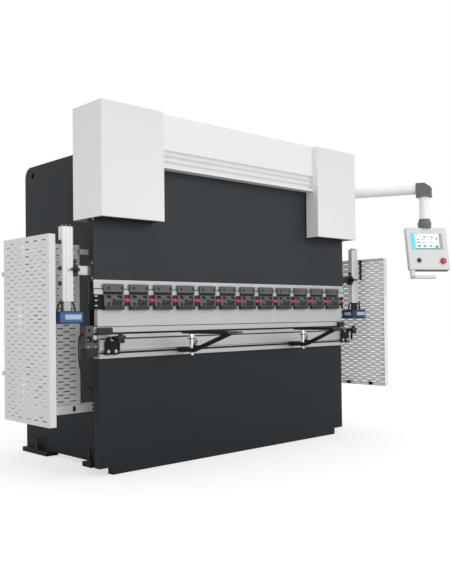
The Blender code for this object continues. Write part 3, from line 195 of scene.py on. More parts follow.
class Shape:
    """Solids gathered into one mesh. turn carries the whole mesh from its own frame to the part's."""

    def __init__(self, turn=Matrix()):
        self.mesh = bmesh.new()
        self.turn = turn

    def _round(self, verts, width, steps, rims=False):
        if width:
            edges = {e for v in verts for e in v.link_edges}
            if rims:
                edges = {e for e in edges if any(len(f.verts) > 4 for f in e.link_faces)}
            bmesh.ops.bevel(self.mesh, geom=list(edges), offset=width, segments=steps, profile=0.5,
                            affect="EDGES", clamp_overlap=True)
        return self

    def _skin(self, rings):
        """Faces from ring to ring, and a face on both ends."""
        for a, b in zip(rings, rings[1:]):
            for i in range(len(a)):
                j = (i + 1) % len(a)
                self.mesh.faces.new((a[i], a[j], b[j], b[i]))
        self.mesh.faces.new(rings[0][::-1])
        self.mesh.faces.new(rings[-1])
        return self

    def block(self, low, high, edge=0.001, steps=2):
        size, middle = Vector(high) - Vector(low), (Vector(high) + Vector(low)) / 2
        made = bmesh.ops.create_cube(self.mesh, size=1,
                                     matrix=Matrix.Translation(middle) @ Matrix.Diagonal((*size, 1)))
        return self._round(made["verts"], edge, steps)

    def mirror(self, side, near, far, edge=0.001, steps=2):
        """A block given with x away from the middle, on the side -1 or +1."""
        x = sorted((side * near[0], side * far[0]))
        return self.block((x[0], near[1], near[2]), (x[1], far[1], far[2]), edge, steps)

    def rod(self, start, end, radius, end_radius=None, segments=32, edge=0.0006):
        run = Vector(end) - Vector(start)
        turn = Vector(UP).rotation_difference(run).to_matrix().to_4x4()
        middle = (Vector(end) + Vector(start)) / 2
        made = bmesh.ops.create_cone(self.mesh, cap_ends=True, segments=segments, radius1=radius,
                                     radius2=radius if end_radius is None else end_radius, depth=run.length,
                                     matrix=Matrix.Translation(middle) @ turn)
        return self._round(made["verts"], edge, 2, rims=True)

    def lathe(self, start, direction, profile, segments=32):
        """A turned body: profile gives (distance along the axis, radius)."""
        turn = Vector(UP).rotation_difference(Vector(direction)).to_matrix().to_4x4()
        place = Matrix.Translation(start) @ turn
        angles = [2 * math.pi * i / segments for i in range(segments)]
        rings = [[self.mesh.verts.new(place @ Vector((radius * math.cos(t), radius * math.sin(t), along)))
                  for t in angles] for along, radius in profile]
        return self._skin(rings)

    def prism(self, points, along, low, high, edge=0.001, steps=2):
        """An outline, (y, z) along X, (x, z) along Y or (x, y) along Z, from low to high."""
        order = {"X": lambda u, v, w: (w, u, v), "Y": lambda u, v, w: (u, w, v), "Z": lambda u, v,
                 w: (u, v, w)}
        rings = [[self.mesh.verts.new(order[along](u, v, w)) for u, v in points] for w in (low, high)]
        faces = [self.mesh.faces.new(rings[0]), self.mesh.faces.new(rings[1][::-1])]
        for i in range(len(points)):
            j = (i + 1) % len(points)
            faces.append(self.mesh.faces.new((rings[0][j], rings[0][i], rings[1][i], rings[1][j])))
        bmesh.ops.recalc_face_normals(self.mesh, faces=faces)
        return self._round([v for ring in rings for v in ring], edge, steps)

    def bar(self, points, radius, segments=12):
        """A round bar bent through the points."""
        path = [Vector(p) for p in points]
        rings, side = [], None
        for i, p in enumerate(path):
            run = (path[min(i + 1, len(path) - 1)] - path[max(i - 1, 0)]).normalized()
            side = run.orthogonal() if side is None else side - run * side.dot(run)
            side.normalize()
            up = run.cross(side)
            rings.append([self.mesh.verts.new(p + radius * (math.cos(t) * side + math.sin(t) * up))
                          for t in (2 * math.pi * k / segments for k in range(segments))])
        return self._skin(rings)

    def pierced(self, width, height, holes, thickness, place):
        """A flat sheet from (0, 0) to (width, height) with holes, extruded and put in place."""
        curve = bpy.data.curves.new("pierced", "CURVE")
        curve.dimensions, curve.fill_mode, curve.extrude = "2D", "BOTH", thickness / 2
        border = [(0, 0), (width, 0), (width, height), (0, height)]
        for points in [border] + holes:
            spline = curve.splines.new("POLY")
            spline.points.add(len(points) - 1)
            for point, (u, v) in zip(spline.points, points):
                point.co = (u, v, 0, 1)
            spline.use_cyclic_u = True
        obj = new_object("pierced", curve)
        bpy.context.view_layer.update()
        mesh = bpy.data.meshes.new_from_object(obj.evaluated_get(bpy.context.evaluated_depsgraph_get()))
        mesh.transform(place)
        self.mesh.from_mesh(mesh)
        bpy.data.objects.remove(obj)
        bpy.data.meshes.remove(mesh)
        bpy.data.curves.remove(curve)
        return self

    def piece(self, name, body, material, replaces=(), slot=None):
        """The finished mesh as a piece that rides on body and stands for the CAD nodes in replaces."""
        mesh = bpy.data.meshes.new(name)
        bmesh.ops.remove_doubles(self.mesh, verts=self.mesh.verts, dist=0.000001)
        bmesh.ops.transform(self.mesh, matrix=self.turn, verts=self.mesh.verts)
        self.mesh.to_mesh(mesh)
        self.mesh.free()
        return put(mesh, name, body, material, replaces)


def put(mesh, name, body, material, replaces=(), at=(0, 0, 0)):
    """A piece made of a mesh, which several pieces may share."""
    if not mesh.materials:
        mesh.materials.append(material)
        mesh.shade_smooth()
        mesh.set_sharp_from_angle(angle=math.radians(SMOOTH_BELOW))
    obj = new_object(name, mesh)
    obj.location = at
    weighted = obj.modifiers.new("weighted", "WEIGHTED_NORMAL")
    weighted.keep_sharp = True
    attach(obj, body)
    if replaces:
        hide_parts(*replaces)
    return obj


def dress(node, material, edge=0.0015):
    """A CAD node in its finish, with its sharp edges broken."""
    obj = frame["nodes"][node]
    obj.data.materials.clear()
    obj.data.materials.append(material)
    weld = obj.modifiers.new("weld", "WELD")
    weld.merge_threshold = 0.00002
    if edge:
        bevel = obj.modifiers.new("broken_edges", "BEVEL")
        bevel.width = edge
        bevel.segments = 2
        bevel.limit_method = "ANGLE"
        bevel.angle_limit = math.radians(50)
        bevel.harden_normals = True


# ---- camera

EYE = Vector((-3.8489, -4.0492, 1.0168))
YAW, PITCH, ROLL = 0.75557, 0.01607, -0.01123   # right of +Y, up, and clockwise, in radians
LENS = 46.23
SHIFT = (-0.0095, 0.0174)

right = Vector((math.cos(YAW), -math.sin(YAW), 0))
ahead = Vector((math.sin(YAW), math.cos(YAW), 0))
upward = Vector((0, 0, 1))
look = ahead * math.cos(PITCH) + upward * math.sin(PITCH)
top = upward * math.cos(PITCH) - ahead * math.sin(PITCH)
across = right * math.cos(ROLL) + top * math.sin(ROLL)
top = top * math.cos(ROLL) - right * math.sin(ROLL)

camera_data = bpy.data.cameras.new("camera")
camera_data.lens = LENS
camera_data.shift_x, camera_data.shift_y = SHIFT
camera = new_object("camera", camera_data)
camera.matrix_world = Matrix.Translation(EYE) @ Matrix((across, top, -look)).transposed().to_4x4()
bpy.context.scene.camera = camera


# ---- reader cable

CABLE_RADIUS = 0.005
CABLE_ROUTE = (
    (-1.3117, 0.004, 0.900), (-1.3165, 0.004, 0.900), (-1.323, 0.004, 0.900), (-1.333, 0.004, 0.891),
    (-1.338, 0.004, 0.868), (-1.339, 0.006, 0.830), (-1.338, 0.008, 0.785), (-1.334, 0.012, 0.740),
    (-1.318, 0.020, 0.675), (-1.285, 0.034, 0.605), (-1.232, 0.050, 0.555), (-1.170, 0.064, 0.526),
    (-1.110, 0.072, 0.512), (-1.0646, 0.074, 0.508),
)


def smooth_route(points, steps):
    """Catmull-Rom curve through the route's own points."""
    path = [Vector(p) for p in points]
    ends = [2 * path[0] - path[1]] + path + [2 * path[-1] - path[-2]]
    out = [path[0]]
    for a, b, c, d in zip(ends, ends[1:], ends[2:], ends[3:]):
        for i in range(1, steps + 1):
            t = i / steps
            out.append(0.5 * (2 * b + (c - a) * t + (2 * a - 5 * b + 4 * c - d) * t * t
                              + (3 * b - a - 3 * c + d) * t * t * t))
    return out


def reader_cable():
    route = smooth_route(CABLE_ROUTE, 3)
    curve = bpy.data.curves.new("reader_cord", "CURVE")
    curve.dimensions = "3D"
    curve.bevel_depth = CABLE_RADIUS
    curve.bevel_resolution = 4
    curve.use_fill_caps = True
    spline = curve.splines.new("POLY")
    spline.points.add(len(route) - 1)
    for point, at in zip(spline.points, route):
        point.co = (*at, 1)
    curve.materials.append(RUBBER)
    cord = new_object("reader_cord", curve)
    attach(cord, "frame")
    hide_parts("reader_cable")


reader_cable()


# ---- frame, table and ram plates

# Side plates in the darker painted-shade copy of the anthracite.
for hand, side in SIDES:
    dress(hand + "_side_plate", SIDE_ANTHRACITE_SHADED, 0.003)
    dress(hand + "_cylinder", ANTHRACITE)
    dress(hand + "_piston_rod", CHROME)
    dress(hand + "_gauge_rail", MACHINED)
    dress(hand + "_gauge_finger", DARK_STEEL)
# The table plate in the darker painted-shade copy of the anthracite.
dress("table_plate", TABLE_ANTHRACITE_SHADED, 0.003)
dress("ram_plate", ANTHRACITE, 0.003)
for node in ("table_top_rail", "die_holder", "ram_rail"):
    dress(node, MACHINED, 0.001)
dress("lower_die", GROUND, 0.0005)
dress("gauge_beam", ALUMINIUM)
dress("gauge_screw", CHROME)
dress("oil_tank", ANTHRACITE, 0.003)
dress("pump_motor", ANTHRACITE)
dress("electrical_cabinet", WHITE, 0.0015)
dress("pendant_bracket", CAST_GREY)


def punch():
    """Upper tool with its tang, a straight face down to the die and a narrow nose in the vee."""
    face, nose, edge, half_tang = -0.0258, -0.0070, 0.0004, 0.0098
    top, shoulder, foot, tip = 1.1815, 1.1515, 0.9480, 0.9366
    outline = [(face, shoulder), (face, foot), (nose, foot - 0.003), (-edge, tip), (edge, tip),
               (half_tang, foot), (half_tang, top), (-half_tang, top), (-half_tang, shoulder)]
    tool = Shape().prism(outline, "X", -1.2220, 1.2220, 0.0003, 1)
    tool.piece("punch_body", "ram", GROUND, ["punch"], slot="tool_steel")


def crown_edges():
    """Strips of the ram's paint beside the covers."""
    strips = Shape()
    for side in (-1, 1):
        strips.mirror(side, (0.7545, -0.0278, 1.7210), (0.7802, -0.0180, 2.0250), 0.0005)
    strips.piece("crown_edges", "ram", ANTHRACITE)


punch()
crown_edges()


FOOT_X, FOOT_YS = 1.0735, (0.3115, 1.0235)


def levellers():
    """Screws and nuts in the feet of the side plates, in black paint."""
    for hand, side in SIDES:
        shape = Shape()
        x = side * FOOT_X
        for y in FOOT_YS:
            shape.lathe((x, y, 0.031), UP, [(0, 0.0105), (0.080, 0.0105), (0.083, 0.0085)], 20)
            for k in range(9):
                z = 0.060 + 0.006 * k
                shape.rod((x, y, z), (x, y, z + 0.0028), 0.0112, segments=20, edge=0)
            shape.rod((x, y, 0.0315), (x, y, 0.047), 0.018, segments=6, edge=0.001)
            shape.rod((x, y, 0.0305), (x, y, 0.033), 0.021, segments=24, edge=0.0005)
        shape.piece(hand + "_levellers", "frame", BLACK)


levellers()


# ---- clamps and tools

CLAMPS, CLAMP_PITCH = 12, 0.200
CLAMP_HALF = 0.0760
CLAMP_SHIFT = -0.0075
CLAMP_FRONT = -0.0483
JAW_BACK = -0.0265
LEVER_Z = 1.1135


def clamp_meshes():
    """Meshes of one clamp about x = 0: blocks, dark details that paint the shade in its holes, slots and
    undercut, lip and lever.
    """
    half, front, back = CLAMP_HALF, CLAMP_FRONT, -0.0343
    blocks = Shape()
    blocks.block((-half, front, 1.1675), (half, back, 1.2195), 0.0018)
    blocks.block((-half + 0.002, front + 0.008, 1.150), (half - 0.002, -0.0345, 1.170), 0.001)
    blocks.prism([(front, 1.0755), (JAW_BACK, 1.0755), (JAW_BACK, 1.1515), (front + 0.006, 1.1515),
                  (front, 1.1485)], "X", -half, half, 0.0015)
    # Near-black marks: painted shade in the bolt holes, slots and the undercut under the upper block.
    dark = Shape()
    proud, deep = front - 0.0006, front + 0.004
    for x in (-half + 0.031, half - 0.018):
        dark.lathe((x, front - 0.0004, 1.1940), (0, 1, 0), [(0, 0.0090), (0.004, 0.0090)], 24)
    for x in (-half + 0.034, half - 0.034):
        dark.prism([(x - 0.017, 1.1475), (x + 0.003, 1.1465), (x + 0.019, 1.1385), (x + 0.018, 1.1240),
                    (x - 0.002, 1.1285), (x - 0.019, 1.1325)], "Y", proud, deep, 0.0006)
    dark.rod((-0.003, proud, 1.1130), (-0.003, deep, 1.1130), 0.0112, segments=20)
    dark.lathe((-half + 0.033, front - 0.0008, 1.0900), (0, 1, 0), [(0, 0.0105), (0.004, 0.0105)], 24)
    for k, (rise, wide) in enumerate(((0.020, 0.0084), (0.024, 0.0090), (0.026, 0.0084), (0.026, 0.0090))):
        x = -0.013 + 0.0205 * k
        dark.block((x - wide, proud, 1.0805), (x + wide, deep, 1.0805 + rise), 0.0006)
    dark.block((0.014, proud, 1.1075), (half - 0.012, deep, 1.1150), 0.0006)
    dark.block((-half + 0.001, front + 0.0078, 1.1530), (half - 0.001, front + 0.011, 1.1680), 0.0005)
    lip = Shape()
    lip.prism([(front - 0.0058, 1.0525), (JAW_BACK, 1.0525), (JAW_BACK, 1.0750), (front, 1.0750),
               (front - 0.0058, 1.0725)], "X", -half, half, 0.0012)
    seat = Shape()
    seat.block((half + 0.018, -0.0420, 1.0780), (half + 0.040, JAW_BACK, 1.0990), 0.001)
    seat.block((half + 0.020, -0.0400, 1.1290), (half + 0.038, JAW_BACK, 1.1480), 0.001)
    lever = Shape()
    y, z = JAW_BACK - 0.0132, LEVER_Z
    lever.lathe((half - 0.004, y, z), (1, 0, 0), [(0, 0.0060), (0.004, 0.0060), (0.005, 0.0118),
                                                  (0.008, 0.0128), (0.047, 0.0128), (0.050, 0.0116),
                                                  (0.0515, 0.0080)], 28)
    for k in range(4):
        lever.rod((half + 0.010 + 0.009 * k, y, z), (half + 0.013 + 0.009 * k, y, z), 0.0131, segments=28,
                  edge=0.0003)
    return {"blocks": (blocks, DARK_STEEL, "clamp_steel"), "marks": (dark, SHADOW_BLACK, "clamp_steel"),
            "lip": (lip, LIP_STEEL, "clamp_steel"), "seat": (seat, PLASTIC, "black_plastic"),
            "lever": (lever, RED, "red_plastic")}


def clamps():
    made = {}
    for part, (shape, material, slot) in clamp_meshes().items():
        mesh = bpy.data.meshes.new("clamp_" + part)
        shape.mesh.to_mesh(mesh)
        made[part] = (mesh, material, slot)
    for i in range(CLAMPS):
        x = (i - (CLAMPS - 1) / 2) * CLAMP_PITCH + CLAMP_SHIFT
        for part, (mesh, material, slot) in made.items():
            node = "clamp_%02d" % (i + 1)
            put(mesh, "%s_%s" % (node, part), "ram", material, [node] if part == "blocks" else (),
                (x, 0, 0))


clamps()


def ram_end():
    """Near-black seat at the tools' left end with its screws, partly the real seat and partly painted shade
    in the gap behind it; end plates darkened as painted shade; and a painted shade strip in the groove above
    the ledge.
    """
    end = 1.2490
    # Near-black seat and end plates: painted shade over the real seat, the gap behind it and the ram's end
    # faces.
    plate = Shape().block((-end, -0.0330, 1.056), (-1.1725, -0.0265, 1.1505), 0.001)
    for side in (-1, 1):
        for low, high in ((1.0560, 1.2340), (1.3720, 1.7160)):
            plate.mirror(side, (end, -0.0255, low), (end + 0.0016, 0.0255, high), 0.0003)
    plate.piece("ram_end_seat_and_shade", "ram", NIGHT, slot="clamp_steel")
    screws = Shape()
    for z in (1.1400, 1.1130, 1.0800):
        screws.block((0.002 - end, -0.0366, z - 0.0030), (-1.2265, -0.0325, z + 0.0030), 0.0016)
    screws.piece("ram_end_screws", "ram", ZINC)
    # Painted shade: a near-black strip in the groove above the ledge.
    groove = Shape().block((-end - 0.0005, -0.0283, 1.1845), (end + 0.0005, -0.0270, 1.1900), 0.0001)
    groove.piece("ledge_groove_shade", "ram", SHADOW_BLACK)


ram_end()


# ---- covers

COVER_NEAR, COVER_FAR = (0.781, -0.158, 1.632), (1.270, 0.172, 2.360)
FOLD = 0.004                # rounding of a folded edge


def cylinder_cover(hand, side):
    """Folded sheet with rounded folds: front, outer side, inner side and back beside the frame, and top."""
    (inner, front, low), (outer, back, high) = COVER_NEAR, COVER_FAR
    fold = SHEET + FOLD
    rear = back - SHEET
    shape = Shape()
    for near, far in (((inner, front, low), (outer, front + fold, high)),
                      ((outer - fold, front, low), (outer, back, high)),
                      ((inner, front, high - fold), (outer, back, high))):
        shape.mirror(side, near, far, FOLD, 3)
    for near, far in (((inner, front, low), (inner + SHEET, -0.035, high - 0.001)),
                      ((PLATE_OUT, rear, low), (outer, back, high)),
                      ((inner, rear, low), (PLATE_IN, back, high)),
                      ((inner + 0.004, front + 0.002, low), (outer - 0.004, front + 0.016, low + SHEET))):
        shape.mirror(side, near, far)
    shape.mirror(side, (PLATE_IN - 0.0006, rear, 2.1506), (PLATE_OUT + 0.0006, back, high - 0.001), 0.0005)
    shape.piece(hand + "_cover_sheet", "frame", WHITE, [hand + "_cylinder_cover"])
    base = Shape().mirror(side, (inner + 0.004, front + 0.012, low + 0.0005),
                          (outer - 0.006, -0.0300, low + 0.0025), 0.0004)
    base.piece(hand + "_cover_base", "frame", ANTHRACITE)
    tab = Shape().mirror(side, (outer - 0.0175, -0.036, low - 0.012), (outer - 0.0130, -0.031, low + 0.030))
    tab.piece(hand + "_cover_tab", "frame", WHITE)


def centre_cover():
    """Recessed beam whose lower part is folded into three slanted louvre ribs."""
    half, front, low, high = 0.7807, -0.114, 1.999, 2.360
    rib, ribs = 0.0385, 3
    ledge = front + 0.026
    outline = [(front, high), (front, low + 0.006 + rib * ribs)]
    for k in range(ribs, 0, -1):
        top_z = low + 0.003 + rib * k
        outline += [(ledge, top_z - 0.001), (ledge, top_z - 0.013), (front + 0.001, top_z - rib + 0.006)]
    outline += [(front, low), (-0.0405, low), (-0.0405, low + SHEET), (front + 0.022, low + SHEET),
                (ledge + SHEET, low + 0.008), (ledge + SHEET, high - SHEET), (0.172, high - SHEET),
                (0.172, high)]
    shape = Shape().prism(outline, "X", -half, half, 0.0012)
    shape.piece("centre_cover_sheet", "frame", WHITE, ["centre_cover"])


for hand, side in SIDES:
    cylinder_cover(hand, side)
centre_cover()


# ---- table front

RAIL_FACE = -0.0453
SLOT_Z = 0.7884


def die_ends():
    """Dark clamps at both ends of the die, and near-black strips that paint the shade in the grooves and
    steps along the table's steel.
    """
    for name, low, high in (("left", -1.236, -1.132), ("right", 1.160, 1.221)):
        shape = Shape()
        shape.block((low, -0.064, 0.9000), (high, -0.0305, 0.9405), 0.0015)
        for x in (low + 0.020, high - 0.020):
            shape.rod((x, -0.0655, 0.9205), (x, -0.060, 0.9205), 0.0065, segments=20)
        shape.piece(name + "_die_end", "frame", BLACK)
    # Painted shade: near-black strips in the grooves, the step and the T-slot along the table's steel.
    lines = Shape()
    for y, low, high in ((-0.0262, 0.8955, 0.9085), (-0.0302, 0.8708, 0.8732), (-0.0452, 0.8640, 0.8703),
                         (-0.0452, 0.7725, 0.7860)):
        lines.block((-1.2185, y, low), (1.2185, y + 0.0012, high), 0.0001)
    lines.piece("table_groove_shade", "frame", SHADOW_BLACK)


die_ends()


LOBES, LOBE_AT = 5, 0.0235    # of a star knob, and their distance from its axis


def rail_bracket(hand, x):
    """Bracket bolted to the rail, its label, axle and lever, and the star knob that turns on the axle."""
    half, bottom, top_z, front = 0.0515, 0.7674, 0.8854, -0.0603
    cut = 0.034
    shape = Shape()
    shape.prism([(x - half, bottom), (x + half, bottom), (x + half, top_z), (x - half + cut, top_z),
                 (x - half, top_z - cut)], "Y", front, RAIL_FACE, 0.002)
    axle_x, axle_z = x + 0.006, top_z - 0.012
    boss_front = front - 0.068
    shape.rod((axle_x, boss_front, axle_z), (axle_x, front + 0.002, axle_z), 0.0118, segments=28, edge=0.001)
    shape.block((axle_x - 0.007, boss_front, axle_z - 0.080),
                (axle_x + 0.007, boss_front + 0.014, axle_z - 0.006), 0.0025, 3)
    shape.piece(hand + "_bracket_body", "frame", NIGHT, [hand + "_rail_bracket"])
    bolts = Shape()
    for offset in (-0.028, 0.028):
        bolt_x, bolt_z = x + offset, bottom + 0.022
        bolts.lathe((bolt_x, front + 0.0005, bolt_z), OUT, [(0, 0.0112), (0.0016, 0.0112), (0.0020, 0.0098)],
                    28)
        bolts.lathe((bolt_x, front - 0.0010, bolt_z), OUT, [(0, 0.0072), (0.005, 0.0072), (0.006, 0.0058)], 6)
    bolts.piece(hand + "_bracket_bolts", "frame", GROUND)
    plate = Shape().block((x - 0.014, front - 0.0010, top_z - 0.030),
                          (x + 0.008, front + 0.002, top_z - 0.014), 0.0012)
    plate.block((x - half + cut, front - 0.0006, top_z - 0.006),
                (x + half - 0.030, front + 0.002, top_z - 0.002), 0.0008)
    plate.piece(hand + "_bracket_plate_label", "frame", ZINC)
    knob = Shape()
    hub = boss_front - 0.0015
    knob.lathe((axle_x, hub, axle_z), OUT, [(0, 0.019), (0.003, 0.0225), (0.024, 0.0225), (0.028, 0.019),
                                            (0.030, 0.011)], 30)
    for i in range(LOBES):
        turn = math.radians(90 + 360 / LOBES * i)
        lobe_x, lobe_z = axle_x + LOBE_AT * math.cos(turn), axle_z + LOBE_AT * math.sin(turn)
        knob.lathe((lobe_x, hub - 0.001, lobe_z), OUT, [(0, 0.009), (0.002, 0.0118), (0.022, 0.0118),
                                                        (0.026, 0.0090)], 20)
    knob.piece(hand + "_knob_body", hand + "_star", PLASTIC, [hand + "_star_knob"])
    cap = Shape().lathe((axle_x, hub - 0.0290, axle_z), OUT, [(0, 0.0088), (0.0008, 0.0088)], 24)
    cap.piece(hand + "_knob_cap", hand + "_star", CAST_GREY)


BRACKETS = {"left": -1.1345, "right": 1.2355}
for hand, x in BRACKETS.items():
    rail_bracket(hand, x)


def support(hand, x, length):
    """Carriage with its chromed post, and the arm that slides on it."""
    ride, lift = hand + "_carriage", hand + "_arm"
    post_y, arm_z, beam_low, beam_top = -0.198, 0.890, SLOT_Z - 0.020, SLOT_Z + 0.004
    low_z = beam_top + 0.002
    carriage = Shape()
    carriage.block((x, RAIL_FACE - 0.065, SLOT_Z - 0.026), (x + 0.070, RAIL_FACE - 0.0002, SLOT_Z + 0.009),
                   0.002)
    carriage.block((x + 0.010, RAIL_FACE - 0.010, SLOT_Z + 0.0005),
                   (x + 0.060, RAIL_FACE + 0.0060, SLOT_Z + 0.0075), 0.0005)
    carriage.block((x - 0.018, -0.232, beam_low), (x + 0.018, RAIL_FACE - 0.020, beam_top - 0.0005), 0.002)
    carriage.lathe((x, post_y, beam_low - 0.004), UP, [(0, 0.0185), (0.002, 0.0208), (0.025, 0.0208),
                                                       (0.0275, 0.0185)], 32)
    for i in (0.014, 0.056):
        carriage.rod((x + i, RAIL_FACE - 0.0665, SLOT_Z - 0.008), (x + i, RAIL_FACE - 0.060, SLOT_Z - 0.008),
                     0.006, segments=20)
    carriage.piece(hand + "_carriage_body", ride, NIGHT, [hand + "_support_carriage"])
    post = Shape().rod((x, post_y, SLOT_Z - 0.043), (x, post_y, arm_z - 0.0004), 0.0138, segments=32)
    post.piece(hand + "_post", ride, CHROME)
    back, tip, rise = -0.115, -0.115 - length, 0.0198
    arm = Shape()
    arm.block((x - 0.020, tip + 0.100, arm_z), (x + 0.020, back, arm_z + rise), 0.002)
    arm.block((x - 0.009, post_y - 0.066, low_z), (x + 0.009, post_y - 0.018, low_z + 0.0185), 0.001)
    start, end = Vector((x, post_y - 0.046, low_z - 0.008)), Vector((x, tip + 0.098, arm_z + 0.004))
    run = (end - start).normalized()
    half_depth = Vector((0, -run.z, run.y)) * 0.0125
    corners = (start - half_depth, end - half_depth, end + half_depth, start + half_depth)
    arm.prism([(c.y, c.z) for c in corners], "X", x - 0.011, x + 0.011, 0.0015)
    arm.piece(hand + "_arm_bars", lift, NIGHT, [hand + "_support_arm"])
    sleeves = Shape()
    sleeves.lathe((x, post_y, arm_z - 0.024), UP, [(0, 0.0165), (0.002, 0.0190), (0.022, 0.0190),
                                                   (0.0238, 0.0175)], 32)
    sleeves.lathe((x, post_y, low_z), UP, [(0, 0.0165), (0.002, 0.0185), (0.022, 0.0185), (0.024, 0.0165)],
                  32)
    sleeves.rod((x, post_y, low_z + 0.020), (x, post_y, arm_z - 0.020), 0.0182, segments=36)
    sleeves.piece(hand + "_arm_sleeves", lift, CHROME)
    handle = Shape()
    handle.bar([(x + 0.006, post_y - 0.017, low_z + 0.018), (x + 0.016, post_y - 0.022, low_z + 0.030),
                (x + 0.020, post_y - 0.024, low_z + 0.054)], 0.0050)
    handle.rod((x, post_y, arm_z - 0.037), (x, post_y, arm_z - 0.032), 0.0300, segments=36)
    for edge in (-0.0180, 0.0180):
        handle.rod((x + edge, post_y - 0.003, low_z + 0.026), (x + edge, post_y - 0.003, arm_z - 0.026),
                   0.0032, segments=12)
    handle.piece(hand + "_arm_lever", lift, PLASTIC)
    pad = Shape().block((x - 0.020, tip, arm_z), (x + 0.020, tip + 0.0995, arm_z + rise), 0.003)
    for k in range(4):
        pad.block((x - 0.016, tip + 0.012 + 0.022 * k, arm_z + rise - 0.002),
                  (x + 0.016, tip + 0.022 + 0.022 * k, arm_z + rise + 0.0001), 0.0006)
    pad.piece(hand + "_arm_tip", lift, DARK_STEEL, slot="grey_casting")


SUPPORTS = {"left": (-0.590, 0.555), "right": (0.5375, 0.491)}
for hand, (x, length) in SUPPORTS.items():
    support(hand, x, length)


# ---- scale reader

def scale_reader():
    """Reader of the ram's height, its terminal box and the two glands of its cable."""
    left, right_x, front, back = -1.3113, -1.2223, -0.028, 0.028
    body = Shape()
    body.block((left, front, 0.839), (right_x, back, 0.953), 0.002)
    body.block((left - 0.004, front - 0.003, 0.813), (right_x, back, 0.8385), 0.0015)
    body.block((left + 0.006, front - 0.004, 0.905), (left + 0.044, front + 0.002, 0.948), 0.0015)
    body.piece("reader_body", "frame", CASTING, ["scale_reader"])
    bright = Shape()
    for low, high in ((0.906, 0.944), (0.868, 0.894)):
        bright.block((right_x - 0.032, front - 0.0030, low), (right_x - 0.004, front + 0.002, high), 0.0012)
    bright.piece("reader_plates", "frame", ZINC)
    dark = Shape()
    dark.block((right_x - 0.034, front - 0.0010, 0.846), (right_x - 0.002, front + 0.002, 0.950), 0.001)
    dark.rod((left + 0.024, front - 0.0060, 0.926), (left + 0.024, front, 0.926), 0.010, segments=24)
    dark.block((left + 0.008, front - 0.0025, 0.850), (left + 0.046, front + 0.002, 0.890), 0.001)
    dark.piece("reader_windows", "frame", SHADOW_BLACK, slot="black_plastic")
    screws = Shape()
    for x in (left + 0.016, right_x - 0.018):
        for z in (0.821, 0.866):
            screws.lathe((x, front - 0.003, z), OUT, [(0, 0.0040), (0.0008, 0.0040)], 14)
    screws.piece("reader_screws", "frame", ZINC)
    terminal = Shape()
    terminal.block((left + 0.002, front, 0.7575), (right_x, back, 0.8125), 0.002)
    for x in (left + 0.012, right_x - 0.010):
        for z in (0.7665, 0.8035):
            terminal.lathe((x, front, z), OUT, [(0, 0.0036), (0.0012, 0.0036), (0.0018, 0.0024)], 14)
    terminal.piece("reader_terminal", "frame", PLASTIC)
    relief = Shape()
    relief.lathe((-1.3110, 0.004, 0.900), (-1, 0, 0), [(0, 0.0088), (0.003, 0.0088), (0.0034, 0.0072),
                                                       (0.0065, 0.0062)], 20)
    relief.lathe((-1.0503, 0.074, 0.508), (-1, 0, 0.06), [(0, 0.0115), (0.008, 0.0115), (0.009, 0.0088),
                                                          (0.0143, 0.0066)], 20)
    relief.piece("cable_glands", "frame", PLASTIC)


scale_reader()


# ---- optical columns

def column(hand, side):
    """Grooved aluminium post with its cap and nuts, and the sensor below it."""
    near, far, front, back = 1.390, 1.470, -0.028, 0.017
    low, high = 1.105, 1.570
    body = hand + "_column"
    x0, x1 = sorted((side * near, side * far))
    groove, lips = 0.0030, 0.0011
    middle = (front + back) / 2
    outline = [(x0, front + 0.008), (x0 + 0.004, front + 0.003), (x0 + 0.012, front)]
    for x in (x0 + 0.027, x1 - 0.027):
        outline += [(x - lips, front), (x - lips, front + groove), (x + lips, front + groove),
                    (x + lips, front)]
    outline += [(x1 - 0.012, front), (x1 - 0.004, front + 0.003), (x1, front + 0.008)]
    outline += [(x1, middle - lips), (x1 - groove, middle - lips), (x1 - groove, middle + lips),
                (x1, middle + lips)]
    outline += [(x1, back), (x0, back)]
    outline += [(x0, middle + lips), (x0 + groove, middle + lips), (x0 + groove, middle - lips),
                (x0, middle - lips)]
    post = Shape().prism(outline, "Z", low, high - 0.004, 0.0008)
    post.piece(hand + "_column_post", body, ALUMINIUM, [hand + "_sensor_column"])
    cap = Shape().block((x0 + 0.001, front + 0.001, high - 0.0045), (x1 - 0.001, back - 0.001, high - 0.0015),
                        0.001)
    for x in (x0 + 0.012, (x0 + x1) / 2, x1 - 0.012):
        cap.rod((x, middle, high - 0.004), (x, middle, high + 0.0110), 0.0056, segments=16)
    cap.piece(hand + "_column_cap", body, CAST_GREY)
    nuts = Shape()
    for z in (1.47, 1.31, 1.215):
        nuts.mirror(side, (far - 0.001, middle - 0.011, z - 0.012), (far + 0.010, middle + 0.011, z + 0.012),
                    0.002)
        nuts.lathe((side * (far + 0.009), middle, z), (side, 0, 0), [(0, 0.007), (0.006, 0.006)], 16)
    nuts.piece(hand + "_column_nuts", body, PLASTIC)
    sensor(hand, side)


